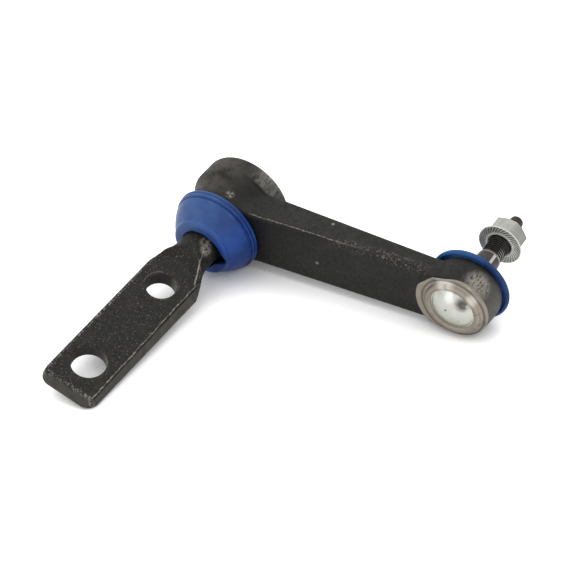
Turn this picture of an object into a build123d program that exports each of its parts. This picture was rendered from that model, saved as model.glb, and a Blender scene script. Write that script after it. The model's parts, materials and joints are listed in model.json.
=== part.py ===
from build123d import *

import os
from math import acos, atan2, cos, pi, radians, sin, sqrt, tan

os.makedirs("parts", exist_ok=True)

# Idler arm of a steering linkage, in millimetres.
# The origin is on the pivot axis, in the plane of the arm's flat front face.
# The pivot axis is Y. The bolted plate lies toward -Y and the ball stud toward +Y.
# The arm's length runs along X and its width along Z.

# Forged arm
centre_distance = 150.0        # pivot axis to ball stud axis
boss_radius = 27.9             # rear half of the boss
boss_length = 31.8
boss_front_radius = 24.0       # front half, behind the pivot boot's flange
boss_blend_radius = 24.2       # round that the bar's sides blend into
boss_flare_start = 3.0         # the front half flares out between these stations
boss_flare_end = 17.9
boss_flare_low = (0.15, 0.45)  # points on the flare: shares of its rise and of its length
boss_flare_high = (0.62, 0.75)
boss_rim_radius = 3.2          # rounding of the boss's rear rim
bar_half_width_root = 17.6     # at the boss
bar_half_width_tip = 17.1      # at the ball housing
bar_thickness_root = 20.0
bar_thickness_tip = 11.8
root_blend = 26.0              # concave radius between boss and bar
tip_blend = 40.0               # concave radius between bar and ball housing
forging_edge = 2.0             # rounding of the bar's long edges
bar_tip_inset = 14.0           # the tip's thickness is measured this far from the ball axis
joint_depth = 1.0              # how far joined forms reach into each other
cut_start = 0.1                # how far outside the metal a cut starts

# Ball housing, at the arm's end
housing_radius = 19.9          # at the thickest station
housing_front_radius = 19.1
housing_swell = 8.0            # station where the housing is thickest
ring_edge = 1.4                # rounding of the machined ring's outer edge
housing_front = 2.7            # height of the machined ring above the front face
housing_back = 15.7            # rear face, behind the front face
ring_radius = 21.6             # cutter that machined the front ring
housing_foot = 3.0             # concave foot of the ring's pad on the front face, and its radius
nose_radius = 16.6             # rear face left flat for the dust boot
lip_height = 2.2               # rolled lip above the machined ring
lip_outer = 17.8               # foot of the lip's outer slope
lip_waist = 16.1               # hollow of that slope
lip_waist_height = 0.7
lip_crest = 14.3
lip_inner = 12.5
lip_curl = 1.5                 # height at which the lip's inner edge ends
lip_curl_lean = 0.3            # lean of the inner edge
cover_radius = 13.4            # counterbore that the cover plate sits in
cover_sink = 0.7               # ledge under the cover's rim, behind the machined ring
cover_thickness = 1.6
cover_rise = 3.2               # height of the dome above its flat rim
cover_flat = 11.9              # inner radius of the flat rim
cover_draw = 0.4               # the same radius is this much smaller inside
cover_dimple = 0.8             # radius of the ball that makes the centre mark
cover_dimple_lift = 0.3        # height of that ball's centre above the dome
seat_bore = 12.4
stud_opening = 9.0             # hole that the stud's neck swings in
stud_opening_flare = 0.8       # the hole widens toward the rear face

# Ball stud
ball_radius = 10.5
ball_centre = 6.3              # behind the front face
ball_flat = 8.9                # ball centre to the flat on its front
neck_radius = 5.5
taper_start = 27.5
taper_end = 42.3
taper_large = 7.1
taper_small = 6.25
thread_radius = 5.9            # M12 crests
thread_step = 0.4              # length of the step from taper to thread
thread_end = 66.2
pilot_radius = 3.8             # plain pilot beyond the thread
pilot_chamfer = 0.8
stud_end = 71.8
neck_flare = 6.0               # length over which the neck widens to the taper
seat_gap = 0.05                # running clearance of the ball and of its seats
seat_split = 0.2               # each seat ends this far from the ball's middle plane
seat_edge = 52.0               # degrees off the axis where the rear seat ends
spring_gauge = 0.9
spring_dish = 0.5
spring_gap = 0.2               # between the spring and the front seat
spring_side_gap = 0.3          # between the spring and its bore
spring_ball_gap = 0.6          # between the spring and the ball

# Flange nut
nut_seat = 50.0                # bearing face, behind the front face
nut_height = 12.0
nut_across_flats = 19.0
nut_flange_radius = 12.4
nut_flange_rim = 1.2           # height of the flange's rim
nut_flange_cone = 2.4          # height of the cone above the rim
nut_flange_edge = 0.6          # chamfer of the flange's bearing face
nut_countersink = 7.2
nut_mouth = 1.2                # chamfer of the thread's far end
nut_chamfer = 1.2              # height of the turned corners
nut_chamfer_angle = 30.0
thread_gap = 0.05

# Ball stud dust boot
boot_rim_radius = 22.4
boot_rim_front = 15.1
boot_bead = 1.8                # how far the rim's bead stands out
boot_bead_height = 2.8
boot_rim_wall = 2.2
boot_dish = 0.5                # the hollow front rises this much toward the rim
boot_foot_inside = 2.4         # foot on the housing's nose, on either side of its edge
boot_foot_outside = 1.4
boot_foot_thickness = 2.6
boot_crown_inside = 1.0        # point that the skirt passes, measured from the nose's edge
boot_crown_drop = 2.6          # and from the collar's start
boot_collar_radius = 9.8
boot_collar_length = 3.0
boot_collar_taper = 0.4
boot_collar_shoulder = 0.2
boot_bore_gap = 0.1
boot_throat = 1.4              # the bore opens out behind the collar
boot_throat_length = 1.2
boot_gap = 0.3                 # soft pieces stay this far off what moves past them

# Bracket: plate, neck and journal
plate_turn = 19.0              # degrees that the plate is turned about the pivot axis
plate_half_width = 15.3
plate_front = 3.5              # front face above the pivot axis
plate_thickness_tip = 7.5      # at the free end
plate_thickness_root = 10.2    # where the plate begins to narrow
plate_draft = 17.0             # degrees that the sides lean out toward the back
plate_end = 137.6              # free end, ahead of the arm's front face
plate_corner = 5.0
outer_hole = 118.7             # distance of the outer hole from the front face
inner_hole = 55.6
outer_hole_radius = 9.4
inner_hole_radius = 8.4
hole_chamfer = 0.6
plate_edge = 1.6               # rounding of the forging's edges
plate_edge_margin = 5.0        # this rounding starts ahead of the shoulder
plate_edge_level = 0.2         # edges steeper than this stay sharp
shoulder_start = 47.0          # where the plate begins to narrow
neck_start = 30.0              # where the round neck begins
neck_radius_bracket = 11.0
neck_trim = 0.6                # stock on the neck that its round envelope trims off
ramp_foot = 6.0                # the front face rises to the neck from here, behind the shoulder
ramp_top = 4.0                 # and ends here, behind the neck's start
envelope_waist = 3.6           # the round envelope opens out by this much
envelope_waist_at = 9.0        # behind the shoulder
envelope_hip = 6.0             # and clears the plate's side by this much
envelope_hip_at = 5.0          # ahead of the shoulder
envelope_run = 20.0            # it is widest this far ahead of the shoulder
envelope_lean = 0.6            # lean at which it starts
collar_radius = 13.0
collar_start = 14.0            # collar inside the pivot boot
collar_ramp = 2.0
journal_radius = 11.0
shaft_thread_radius = 9.0      # M18 crests
shaft_chamfer = 1.0
shaft_tail = 0.6               # thread that stands out of the lock nut

# Pivot bearing, measured back from the front face
running_gap = 0.05
seal_depth = 2.6
seal_space = 0.2               # in front of and behind the seal
seal_lip = 0.8                 # width of each lip's edge
seal_heel = 1.4                # width of the seal's heel
seal_bevel = 0.5
seal_hollow = 0.6              # groove between the two lips
seal_pocket_radius = 17.0
thrust_washer = 1.4
thrust_washer_gap = 0.4
bush_radius = 14.0
bush_space = 0.8               # grease space between the two bushes
rear_pocket_radius = 19.0
rear_pocket_depth = 13.8
journal_end = boss_length - rear_pocket_depth
bush_length = (journal_end - seal_depth - thrust_washer - bush_space) / 2
thread_clearance = 0.1         # of the washers on the shaft's thread
rear_washer = 1.6
rear_washer_gap = 1.0
disc_gauge = 1.1
disc_dish = 0.7
disc_gap = 3.0                 # between the spring washer and the pocket's wall
lock_nut_across_flats = 24.0
lock_nut_height = 5.6
lock_nut_chamfer = 0.7
lock_nut_slot = 2.4            # width of the six slots for the cotter pin
lock_nut_slot_depth = 2.4
lock_nut_slot_turn = 30.0      # degrees from the arm's length to the first slot
lock_nut_start = journal_end + rear_washer + disc_dish + disc_gauge
lock_nut_end = lock_nut_start + lock_nut_height
shaft_end = lock_nut_end + shaft_tail
cotter_leg = 0.55              # radius of each leg of the cotter pin
cotter_station = lock_nut_end - lock_nut_slot_depth / 2
cotter_hole = 1.2              # radius of its hole through the shaft
cotter_leg_offset = 0.44       # from the pin's middle to each leg's middle
cotter_bend = 6.0              # length of the legs bent along the nut
cotter_bend_radius = 0.8
cotter_bend_gap = 1.3          # from the nut's flat to the bent legs' middle
cotter_head_gap = 1.65         # from the nut's flat to the head's foot
cotter_eye = 1.3
plug_thickness = 1.2
plug_depth = 1.0
plug_dish = 1.1
plug_rim = 4.0                 # width of the plug's flat rim
circlip_gauge = 1.0
circlip_groove = 1.0           # depth of the groove
circlip_bite = 0.9             # how far the circlip reaches into it
circlip_width = 2.0
circlip_opening = 11.0
circlip_opening_depth = 8.0
circlip_ear = 2.6              # radius of each plier ear
circlip_ear_at = 6.6           # from the opening's middle
circlip_eye = 1.0

# Pivot boot
pivot_boot_radius = 26.6       # two ribs of the base flange
pivot_boot_rib = 2.1           # width of each rib
pivot_boot_rib_crown = 0.84    # how far the ribs bow out
pivot_boot_rib_step = 0.63
pivot_boot_groove = 24.7       # radius at the bottom of the groove behind the ribs
pivot_boot_groove_width = 0.6
pivot_boot_shoulder = 25.2     # radius where the bell begins
pivot_boot_shoulder_at = 5.8   # distances from the boot's base
pivot_boot_crease_at = 16.4
pivot_boot_length = 18.9
pivot_boot_crease = 18.3       # radius of the crease between bell and lip
pivot_boot_crease_cut = 0.3
pivot_boot_lip = 16.2          # outer edge of the lip's front face
pivot_boot_lip_bulge = 0.5
pivot_boot_mouth = 12.9
pivot_boot_mouth_edge = 0.5
pivot_boot_mouth_back = 0.4    # the mouth's wall ends this far ahead of the crease
pivot_boot_seat = 20.5         # inner radius of the base
pivot_boot_wall = 2.2
pivot_boot_roof = 1.3          # the hollow ends this far behind the crease
pivot_boot_shoulder_wall = 2.6
pivot_boot_shoulder_drop = 0.4
pivot_boot_bulge = 0.5         # how far the bell bows out from a straight cone


def turned(*edges):
    """Solid of revolution about Y of a closed chain of edges drawn as (radius, y)."""
    return revolve(make_face(edges), Axis.Y)


def ring(inner, outer, start, end):
    """Plain ring about Y between two radii and two stations."""
    outline = Polyline((inner, start), (outer, start), (outer, end), (inner, end), close=True)
    return turned(outline)


def disc(outer, start, end):
    """Plain disc about Y."""
    return ring(0, outer, start, end)


def dome_arc(edge_radius, edge, apex):
    """Arc of a sphere centred on the axis, from a rim at (edge_radius, edge) to its apex."""
    rise = apex - edge
    sphere = (edge_radius ** 2 + rise ** 2) / (2 * rise)
    half = atan2(edge_radius, abs(sphere) - abs(rise)) / 2
    middle = (abs(sphere) * sin(half), apex - sphere * (1 - cos(half)))
    return ThreePointArc((edge_radius, edge), middle, (0, apex))


def at_ball_end(solid):
    """Move a piece from the pivot axis to the ball stud axis."""
    return Pos(centre_distance, 0, 0) * solid


def along_y(outline, start, end):
    """Prism of an outline drawn as (x, z), between two stations of y."""
    prism = extrude(Plane.XZ * outline, amount=end - start, dir=(0, 1, 0))
    return Pos(0, start, 0) * prism


def hex_prism(across_flats, start, end):
    """Hexagonal bar along Y."""
    outline = RegularPolygon(across_flats / 2, 6, major_radius=False)
    return along_y(outline, start, end)


def arm_outline():
    """Front view of the arm: boss, tapering bar and ball housing with blended corners."""
    bar = make_face(Polyline(
        (0, bar_half_width_root),
        (centre_distance, bar_half_width_tip),
        (centre_distance, -bar_half_width_tip),
        (0, -bar_half_width_root),
        close=True,
    ))
    body = Circle(boss_blend_radius) + bar + Pos(centre_distance, 0) * Circle(housing_front_radius)
    middle = centre_distance / 2
    root = [v for v in body.vertices() if 1 < v.X < middle]
    body = fillet(root, root_blend)
    tip_limit = centre_distance - housing_front_radius
    tip = [v for v in body.vertices() if tip_limit < v.X < centre_distance - 1]
    return fillet(tip, tip_blend)


def bar_prism():
    """The arm's flat body, thinner toward the ball housing, with rounded forging edges."""
    root_x = boss_radius
    tip_x = centre_distance - bar_tip_inset
    near = -2 * boss_radius
    far = centre_distance + 2 * boss_radius
    slope = (bar_thickness_tip - bar_thickness_root) / (tip_x - root_x)
    side = make_face(Polyline(
        (near, 0),
        (far, 0),
        (far, bar_thickness_root + slope * (far - root_x)),
        (near, bar_thickness_root + slope * (near - root_x)),
        close=True,
    ))
    slab = extrude(side, amount=2 * boss_radius, both=True)
    body = along_y(arm_outline(), 0, boss_length) & slab
    front = body.faces().sort_by(Axis.Y)[0]
    back = body.faces().sort_by(Axis.Y)[-1]
    return fillet(front.edges() + back.edges(), forging_edge)


def housing_blank():
    """Forged ball housing: raised machined ring in front, round rear edge and flat nose."""
    front = -housing_front
    edge = housing_front_radius - ring_edge
    body = turned(
        Line((0, front), (edge, front)),
        RadiusArc((edge, front), (housing_front_radius, front + ring_edge), -ring_edge),
        Line((housing_front_radius, front + ring_edge), (housing_radius, housing_swell)),
        Spline((housing_radius, housing_swell), (nose_radius, housing_back),
               tangents=[(0, 1), (-1, 0)]),
        Line((nose_radius, housing_back), (0, housing_back)),
        Line((0, housing_back), (0, front)),
    )
    far = ring_radius + housing_foot
    pad = turned(
        Line((0, front), (ring_radius, front)),
        RadiusArc((ring_radius, front), (far, 0), housing_foot),
        Line((far, 0), (far, joint_depth)),
        Line((far, joint_depth), (0, joint_depth)),
        Line((0, joint_depth), (0, front)),
    )
    outline = along_y(arm_outline(), front, 2 * joint_depth)
    outline = fillet(outline.faces().sort_by(Axis.Y)[0].edges(), ring_edge)
    return at_ball_end(body) + (at_ball_end(pad) & outline)


def rolled_lip():
    """Lip of the housing, rolled inward over the cover plate's rim."""
    base = -housing_front
    crest = base - lip_height
    root = base + joint_depth
    edge = base - lip_curl
    return turned(
        Line((lip_inner, root), (lip_outer, root)),
        Line((lip_outer, root), (lip_outer, base)),
        Spline((lip_outer, base), (lip_waist, base - lip_waist_height), (lip_crest, crest),
               tangents=[(-1, 0), (-1, 0)]),
        Spline((lip_crest, crest), (lip_inner, edge), tangents=[(-1, 0), (-lip_curl_lean, 1)]),
        Line((lip_inner, edge), (lip_inner, root)),
    )


def cover_ledge():
    """Station of the ledge under the cover plate's rim."""
    return cover_sink - housing_front


def housing_cavity():
    """Space inside the ball housing: cover seat, seat bore, round rear end, stud opening."""
    ledge = cover_ledge()
    rim_top = ledge - cover_thickness
    reach = sqrt(seat_bore ** 2 - stud_opening ** 2)
    middle = (atan2(stud_opening, reach) + pi / 2) / 2
    wide = stud_opening + stud_opening_flare
    top = ledge - cut_start
    rear = housing_back + cut_start
    return (
        disc(lip_inner, -housing_front - lip_height - joint_depth, ledge)
        + disc(cover_radius, rim_top, ledge)
        + turned(
            Line((0, top), (seat_bore, top)),
            Line((seat_bore, top), (seat_bore, ball_centre)),
            ThreePointArc(
                (seat_bore, ball_centre),
                (seat_bore * sin(middle), ball_centre + seat_bore * cos(middle)),
                (stud_opening, ball_centre + reach),
            ),
            Line((stud_opening, ball_centre + reach), (wide, rear)),
            Line((wide, rear), (0, rear)),
            Line((0, rear), (0, top)),
        )
    )


def pivot_bore():
    """Stepped bore of the boss: seal pocket, bush bore and rear pocket for nut and plug."""
    washer_back = seal_depth + thrust_washer
    return (
        disc(seal_pocket_radius, -cut_start, washer_back)
        + disc(bush_radius, washer_back - cut_start, journal_end + cut_start)
        + disc(rear_pocket_radius, journal_end, boss_length + cut_start)
        + disc(rear_pocket_radius + circlip_groove, circlip_station(), circlip_station() + circlip_gauge)
    )


def circlip_station():
    """Front of the circlip groove, behind the plug."""
    return boss_length - plug_depth - circlip_gauge


def idler_arm():
    """One forging: boss, bar and ball housing, with its machined seats."""
    rim = boss_rim_radius
    flare = boss_radius - boss_front_radius
    run = boss_flare_end - boss_flare_start
    low, high = [
        (boss_front_radius + rise * flare, boss_flare_start + along * run)
        for rise, along in (boss_flare_low, boss_flare_high)
    ]
    boss = turned(
        Line((0, 0), (boss_front_radius, 0)),
        Line((boss_front_radius, 0), (boss_front_radius, boss_flare_start)),
        Spline(
            (boss_front_radius, boss_flare_start),
            low,
            high,
            (boss_radius, boss_flare_end),
            tangents=[(0, 1), (0, 1)],
        ),
        Line((boss_radius, boss_flare_end), (boss_radius, boss_length - rim)),
        RadiusArc((boss_radius, boss_length - rim), (boss_radius - rim, boss_length), -rim),
        Line((boss_radius - rim, boss_length), (0, boss_length)),
        Line((0, boss_length), (0, 0)),
    )
    body = boss + bar_prism() + housing_blank() + at_ball_end(rolled_lip())
    return body - pivot_bore() - at_ball_end(housing_cavity())


def bracket_plan(grow):
    """Outline of the plate and neck, drawn as (width, y) and grown outward by a draft."""
    half = plate_half_width + grow
    neck = neck_radius_bracket + neck_trim + grow
    end = -plate_end - grow
    corner = plate_corner + grow
    return make_face([
        Line((-half, end + corner), (-half, -shoulder_start)),
        Spline((-half, -shoulder_start), (-neck, -neck_start), tangents=[(0, 1), (0, 1)]),
        Line((-neck, -neck_start), (-neck, -collar_start)),
        Line((-neck, -collar_start), (neck, -collar_start)),
        Line((neck, -collar_start), (neck, -neck_start)),
        Spline((neck, -neck_start), (half, -shoulder_start), tangents=[(0, -1), (0, -1)]),
        Line((half, -shoulder_start), (half, end + corner)),
        RadiusArc((half, end + corner), (half - corner, end), corner),
        Line((half - corner, end), (-half + corner, end)),
        RadiusArc((-half + corner, end), (-half, end + corner), corner),
    ])


def plate_back(station):
    """Height of the plate's rear face at a station ahead of the arm's front face."""
    share = (station - shoulder_start) / (plate_end - shoulder_start)
    return plate_front - plate_thickness_root + share * (plate_thickness_root - plate_thickness_tip)


def bracket_side():
    """Side outline of the plate and neck, drawn as (y, height)."""
    neck = neck_radius_bracket + neck_trim
    foot = -shoulder_start + ramp_foot
    top = -neck_start + ramp_top
    far = plate_end + plate_thickness_root
    slope = (plate_back(far) - plate_back(shoulder_start)) / (far - shoulder_start)
    return make_face([
        Line((-far, plate_back(far)), (-far, plate_front)),
        Line((-far, plate_front), (foot, plate_front)),
        Spline((foot, plate_front), (top, neck), tangents=[(1, 0), (1, 0)]),
        Line((top, neck), (-collar_start, neck)),
        Line((-collar_start, neck), (-collar_start, -neck)),
        Line((-collar_start, -neck), (-neck_start, -neck)),
        Spline((-neck_start, -neck), (-shoulder_start, plate_back(shoulder_start)),
               tangents=[(-1, 0), (-1, slope)]),
        Line((-shoulder_start, plate_back(shoulder_start)), (-far, plate_back(far))),
    ])


def bracket_envelope():
    """Round envelope that trims the neck's corners and opens out over the plate."""
    round_end = -neck_start + ramp_top
    wide = 2 * plate_half_width
    widest = -shoulder_start - envelope_run
    far = -plate_end - plate_thickness_root
    return turned(
        Line((0, -collar_start), (neck_radius_bracket, -collar_start)),
        Line((neck_radius_bracket, -collar_start), (neck_radius_bracket, round_end)),
        Spline(
            (neck_radius_bracket, round_end),
            (neck_radius_bracket + envelope_waist, -shoulder_start + envelope_waist_at),
            (plate_half_width + envelope_hip, -shoulder_start - envelope_hip_at),
            (wide, widest),
            tangents=[(0, -1), (envelope_lean, -1)],
        ),
        Line((wide, widest), (wide, far)),
        Line((wide, far), (0, far)),
        Line((0, far), (0, -collar_start)),
    )


def plate_hole(station, radius):
    """Bolt hole through the plate, with a small chamfer on both faces."""
    top = plate_front
    bottom = plate_back(station)
    wide = radius + hole_chamfer + joint_depth
    profile = Plane.XZ * make_face(Polyline(
        (0, bottom - joint_depth), (wide, bottom - joint_depth), (radius, bottom + hole_chamfer),
        (radius, top - hole_chamfer), (wide, top + joint_depth), (0, top + joint_depth),
        close=True,
    ))
    return Pos(0, -station, 0) * revolve(profile, Axis.Z)


def plate_and_neck():
    """Flattened plate with leaning sides, drawn in to the round neck."""
    depth = plate_front + neck_radius_bracket + 2 * neck_trim
    grow = depth * tan(radians(plate_draft))
    front = Pos(0, 0, plate_front) * bracket_plan(0)
    upper = extrude(front, amount=neck_radius_bracket)
    lower = loft([front, Pos(0, 0, plate_front - depth) * bracket_plan(grow)])
    side = extrude(Plane.YZ * bracket_side(), amount=2 * plate_half_width, both=True)
    plate = (upper + lower) & side
    rims = [
        e for e in plate.edges()
        if e.center().Y < -shoulder_start - plate_edge_margin
        and abs(e.tangent_at(0.5).Z) < plate_edge_level
    ]
    return fillet(rims, plate_edge) & bracket_envelope()


def pivot_bracket():
    """One forging: bolted plate, neck, collar, journal and threaded end."""
    plate = plate_and_neck()
    collar_foot = -collar_start + collar_ramp
    thread = shaft_thread_radius
    shaft = turned(
        Line((0, -collar_start), (neck_radius_bracket, -collar_start)),
        Line((neck_radius_bracket, -collar_start), (collar_radius, collar_foot)),
        Line((collar_radius, collar_foot), (collar_radius, seal_depth)),
        Line((collar_radius, seal_depth), (journal_radius, seal_depth)),
        Line((journal_radius, seal_depth), (journal_radius, journal_end)),
        Line((journal_radius, journal_end), (thread, journal_end)),
        Line((thread, journal_end), (thread, shaft_end - shaft_chamfer)),
        Line((thread, shaft_end - shaft_chamfer), (thread - shaft_chamfer, shaft_end)),
        Line((thread - shaft_chamfer, shaft_end), (0, shaft_end)),
        Line((0, shaft_end), (0, -collar_start)),
    )
    hole = Rot(0, 90, 0) * Cylinder(cotter_hole, 3 * thread)
    pin_hole = Pos(0, cotter_station, 0) * Rot(0, lock_nut_slot_turn - plate_turn, 0) * hole
    body = plate + shaft
    body = body - plate_hole(outer_hole, outer_hole_radius)
    body = body - plate_hole(inner_hole, inner_hole_radius) - pin_hole
    return Rot(0, plate_turn, 0) * body


def ball_stud():
    """Ball, neck, taper and threaded end, turned from one bar."""
    neck_at = ball_centre + sqrt(ball_radius ** 2 - neck_radius ** 2)
    flat = ball_centre - ball_flat
    flat_radius = sqrt(ball_radius ** 2 - ball_flat ** 2)
    thread_start = taper_end + thread_step
    pilot_start = thread_end + thread_radius - pilot_radius
    return turned(
        Line((0, flat), (flat_radius, flat)),
        ThreePointArc((flat_radius, flat), (ball_radius, ball_centre), (neck_radius, neck_at)),
        Line((neck_radius, neck_at), (neck_radius, taper_start - neck_flare)),
        Spline((neck_radius, taper_start - neck_flare), (taper_large, taper_start),
               tangents=[(0, 1), (0, 1)]),
        Line((taper_large, taper_start), (taper_small, taper_end)),
        Line((taper_small, taper_end), (thread_radius, thread_start)),
        Line((thread_radius, thread_start), (thread_radius, thread_end)),
        Line((thread_radius, thread_end), (pilot_radius, pilot_start)),
        Line((pilot_radius, pilot_start), (pilot_radius, stud_end - pilot_chamfer)),
        Line((pilot_radius, stud_end - pilot_chamfer), (pilot_radius - pilot_chamfer, stud_end)),
        Line((pilot_radius - pilot_chamfer, stud_end), (0, stud_end)),
        Line((0, stud_end), (0, flat)),
    )


def front_seat():
    """Front half of the ball's seat."""
    bore = ball_radius + seat_gap
    outer = seat_bore - seat_gap
    front = cover_ledge() + spring_gauge + spring_dish + spring_gap
    inner_at_front = sqrt(bore ** 2 - (ball_centre - front) ** 2)
    back = ball_centre - seat_split
    inner_at_back = sqrt(bore ** 2 - seat_split ** 2)
    middle = (atan2(inner_at_front, ball_centre - front) + acos(seat_split / bore)) / 2
    return turned(
        Line((inner_at_front, front), (outer, front)),
        Line((outer, front), (outer, back)),
        Line((outer, back), (inner_at_back, back)),
        ThreePointArc(
            (inner_at_back, back),
            (bore * sin(middle), ball_centre - bore * cos(middle)),
            (inner_at_front, front),
        ),
    )


def rear_seat():
    """Rear half of the ball's seat, which carries the ball in the round end of the housing."""
    bore = ball_radius + seat_gap
    outer = seat_bore - seat_gap
    start = ball_centre + seat_split
    edge = radians(seat_edge)
    middle = (edge + acos(seat_split / bore)) / 2
    inner_start = sqrt(bore ** 2 - seat_split ** 2)
    outer_start = sqrt(outer ** 2 - seat_split ** 2)
    outer_edge = (outer * sin(edge), ball_centre + outer * cos(edge))
    inner_edge = (bore * sin(edge), ball_centre + bore * cos(edge))
    return turned(
        Line((inner_start, start), (outer_start, start)),
        ThreePointArc(
            (outer_start, start),
            (outer * sin(middle), ball_centre + outer * cos(middle)),
            outer_edge,
        ),
        Line(outer_edge, inner_edge),
        ThreePointArc(
            inner_edge,
            (bore * sin(middle), ball_centre + bore * cos(middle)),
            (inner_start, start),
        ),
    )


def preload_spring():
    """Dished spring ring that presses the front seat against the ball."""
    front = cover_ledge()
    back = front + spring_dish + spring_gauge
    inner = sqrt((ball_radius + seat_gap) ** 2 - (ball_centre - back) ** 2) + spring_ball_gap
    outer = seat_bore - spring_side_gap
    return turned(Polyline(
        (inner, front + spring_dish), (outer, front), (outer, front + spring_gauge), (inner, back),
        close=True,
    ))


def cover_plate():
    """Domed cover that closes the ball housing under the rolled lip."""
    ledge = cover_ledge()
    top = ledge - cover_thickness
    apex = top - cover_rise
    outer = cover_radius - seat_gap
    inner_flat = cover_flat - cover_draw
    body = turned(
        Line((outer, ledge), (outer, top)),
        Line((outer, top), (cover_flat, top)),
        dome_arc(cover_flat, top, apex),
        Line((0, apex), (0, apex + cover_thickness)),
        dome_arc(inner_flat, ledge, apex + cover_thickness),
        Line((inner_flat, ledge), (outer, ledge)),
    )
    return body - Pos(0, apex - cover_dimple_lift, 0) * Sphere(cover_dimple)


def ball_boot():
    """Dust boot: domed skirt with a thick forward rim and a tight collar on the stud."""
    seat = housing_back + boot_gap
    collar_end = taper_start
    collar_from = collar_end - boot_collar_length
    bore = taper_large + boot_bore_gap
    throat = (bore + boot_throat, collar_from - boot_throat_length)
    foot_inner = nose_radius - boot_foot_inside
    foot_outer = (nose_radius + boot_foot_outside, seat)
    rim_inner = (boot_rim_radius - boot_rim_wall, seat + boot_dish)
    bead_front = (boot_rim_radius - boot_bead, boot_rim_front)
    bead_crown = (boot_rim_radius, boot_rim_front + boot_bead_height / 2)
    bead_back = (boot_rim_radius - boot_bead, boot_rim_front + boot_bead_height)
    crown = (nose_radius - boot_crown_inside, collar_from - boot_crown_drop)
    collar = (boot_collar_radius, collar_from + boot_collar_shoulder)
    collar_edge = (boot_collar_radius - boot_collar_taper, collar_end)
    return turned(
        Line((bore, collar_end), (bore, collar_from)),
        Line((bore, collar_from), throat),
        Line(throat, (foot_inner, seat + boot_foot_thickness)),
        Line((foot_inner, seat + boot_foot_thickness), (foot_inner, seat)),
        Line((foot_inner, seat), foot_outer),
        Line(foot_outer, rim_inner),
        Line(rim_inner, bead_front),
        ThreePointArc(bead_front, bead_crown, bead_back),
        Spline(bead_back, crown, collar),
        Line(collar, collar_edge),
        Line(collar_edge, (bore, collar_end)),
    )


def nut_blank(across_flats, start, end, chamfer):
    """Hexagonal blank along Y with the corners of both faces turned down."""
    corner = across_flats / 2 / cos(radians(30))
    outside = corner + cut_start
    turned_to = outside - chamfer / tan(radians(nut_chamfer_angle))
    envelope = turned(Polyline(
        (0, start), (turned_to, start), (outside, start + chamfer), (outside, end - chamfer),
        (turned_to, end), (0, end),
        close=True,
    ))
    return hex_prism(across_flats, start, end) & envelope


def flange_nut():
    """Hexagon nut with a conical bearing flange and a countersunk mouth."""
    start = nut_seat
    end = nut_seat + nut_height
    rim = start + nut_flange_rim
    cone = rim + nut_flange_cone
    flange = turned(Polyline(
        (0, start), (nut_flange_radius - nut_flange_edge, start),
        (nut_flange_radius, start + nut_flange_edge), (nut_flange_radius, rim),
        (nut_across_flats / 2, cone), (0, cone),
        close=True,
    ))
    bore = thread_radius + thread_gap
    hole = turned(Polyline(
        (0, start - joint_depth), (nut_countersink + joint_depth, start - joint_depth),
        (bore, start + nut_countersink - bore), (bore, end - nut_mouth + cut_start),
        (bore + nut_mouth, end + cut_start), (0, end + cut_start),
        close=True,
    ))
    return nut_blank(nut_across_flats, start, end, nut_chamfer) + flange - hole


def front_bush():
    start = seal_depth + thrust_washer
    return ring(journal_radius + running_gap, bush_radius, start, start + bush_length)


def rear_bush():
    return ring(journal_radius + running_gap, bush_radius, journal_end - bush_length, journal_end)


def front_thrust_washer():
    outer = seal_pocket_radius - thrust_washer_gap
    return ring(journal_radius + running_gap, outer, seal_depth, seal_depth + thrust_washer)


def pivot_seal():
    """Rubber ring in the boss's mouth, with two thin lips on the collar."""
    inner = collar_radius + running_gap
    start = seal_space
    end = seal_depth - seal_space
    return turned(Polyline(
        (inner, start), (inner + seal_lip, start), (inner + seal_heel, start + seal_bevel),
        (seal_pocket_radius, start), (seal_pocket_radius, end),
        (inner + seal_heel, end - seal_bevel), (inner + seal_lip, end), (inner, end),
        (inner, end - seal_bevel), (inner + seal_hollow, (start + end) / 2),
        (inner, start + seal_bevel),
        close=True,
    ))


def rear_thrust_washer():
    inner = shaft_thread_radius + thread_clearance
    return ring(inner, rear_pocket_radius - rear_washer_gap, journal_end, journal_end + rear_washer)


def pivot_disc_spring():
    """Dished spring washer under the lock nut."""
    start = journal_end + rear_washer
    inner = shaft_thread_radius + thread_clearance
    outer = rear_pocket_radius - disc_gap
    return turned(Polyline(
        (inner, start + disc_dish), (outer, start), (outer, start + disc_gauge),
        (inner, start + disc_dish + disc_gauge),
        close=True,
    ))


def pivot_lock_nut():
    """Thin slotted nut on the shaft's threaded end."""
    body = nut_blank(lock_nut_across_flats, lock_nut_start, lock_nut_end, lock_nut_chamfer)
    slot = Pos(0, cotter_station, 0) * Box(
        2 * lock_nut_across_flats, lock_nut_slot_depth, lock_nut_slot)
    slots = [Rot(0, lock_nut_slot_turn + 60 * k, 0) * slot for k in range(3)]
    bore = disc(shaft_thread_radius + thread_gap, lock_nut_start - cut_start, lock_nut_end + cut_start)
    return body - bore - slots


def pivot_cotter_pin():
    """Split pin through the slotted nut and the shaft, with its two legs bent apart."""
    flat = lock_nut_across_flats / 2
    bend = flat + cotter_bend_gap
    head = -flat - cotter_head_gap
    legs = []
    for side in (-1, 1):
        offset = side * cotter_leg_offset
        route = FilletPolyline(
            (head, cotter_station, offset),
            (bend, cotter_station, offset),
            (bend, cotter_station, side * cotter_bend),
            radius=cotter_bend_radius,
        )
        section = Plane(origin=route @ 0, z_dir=route % 0) * Circle(cotter_leg)
        legs.append(sweep(section, path=route))
    eye = Pos(head - cotter_leg, cotter_station, 0) * Rot(90, 0, 0) * Torus(cotter_eye, cotter_leg)
    pin = legs[0] + legs[1] + eye
    return Rot(0, lock_nut_slot_turn, 0) * pin


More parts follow.
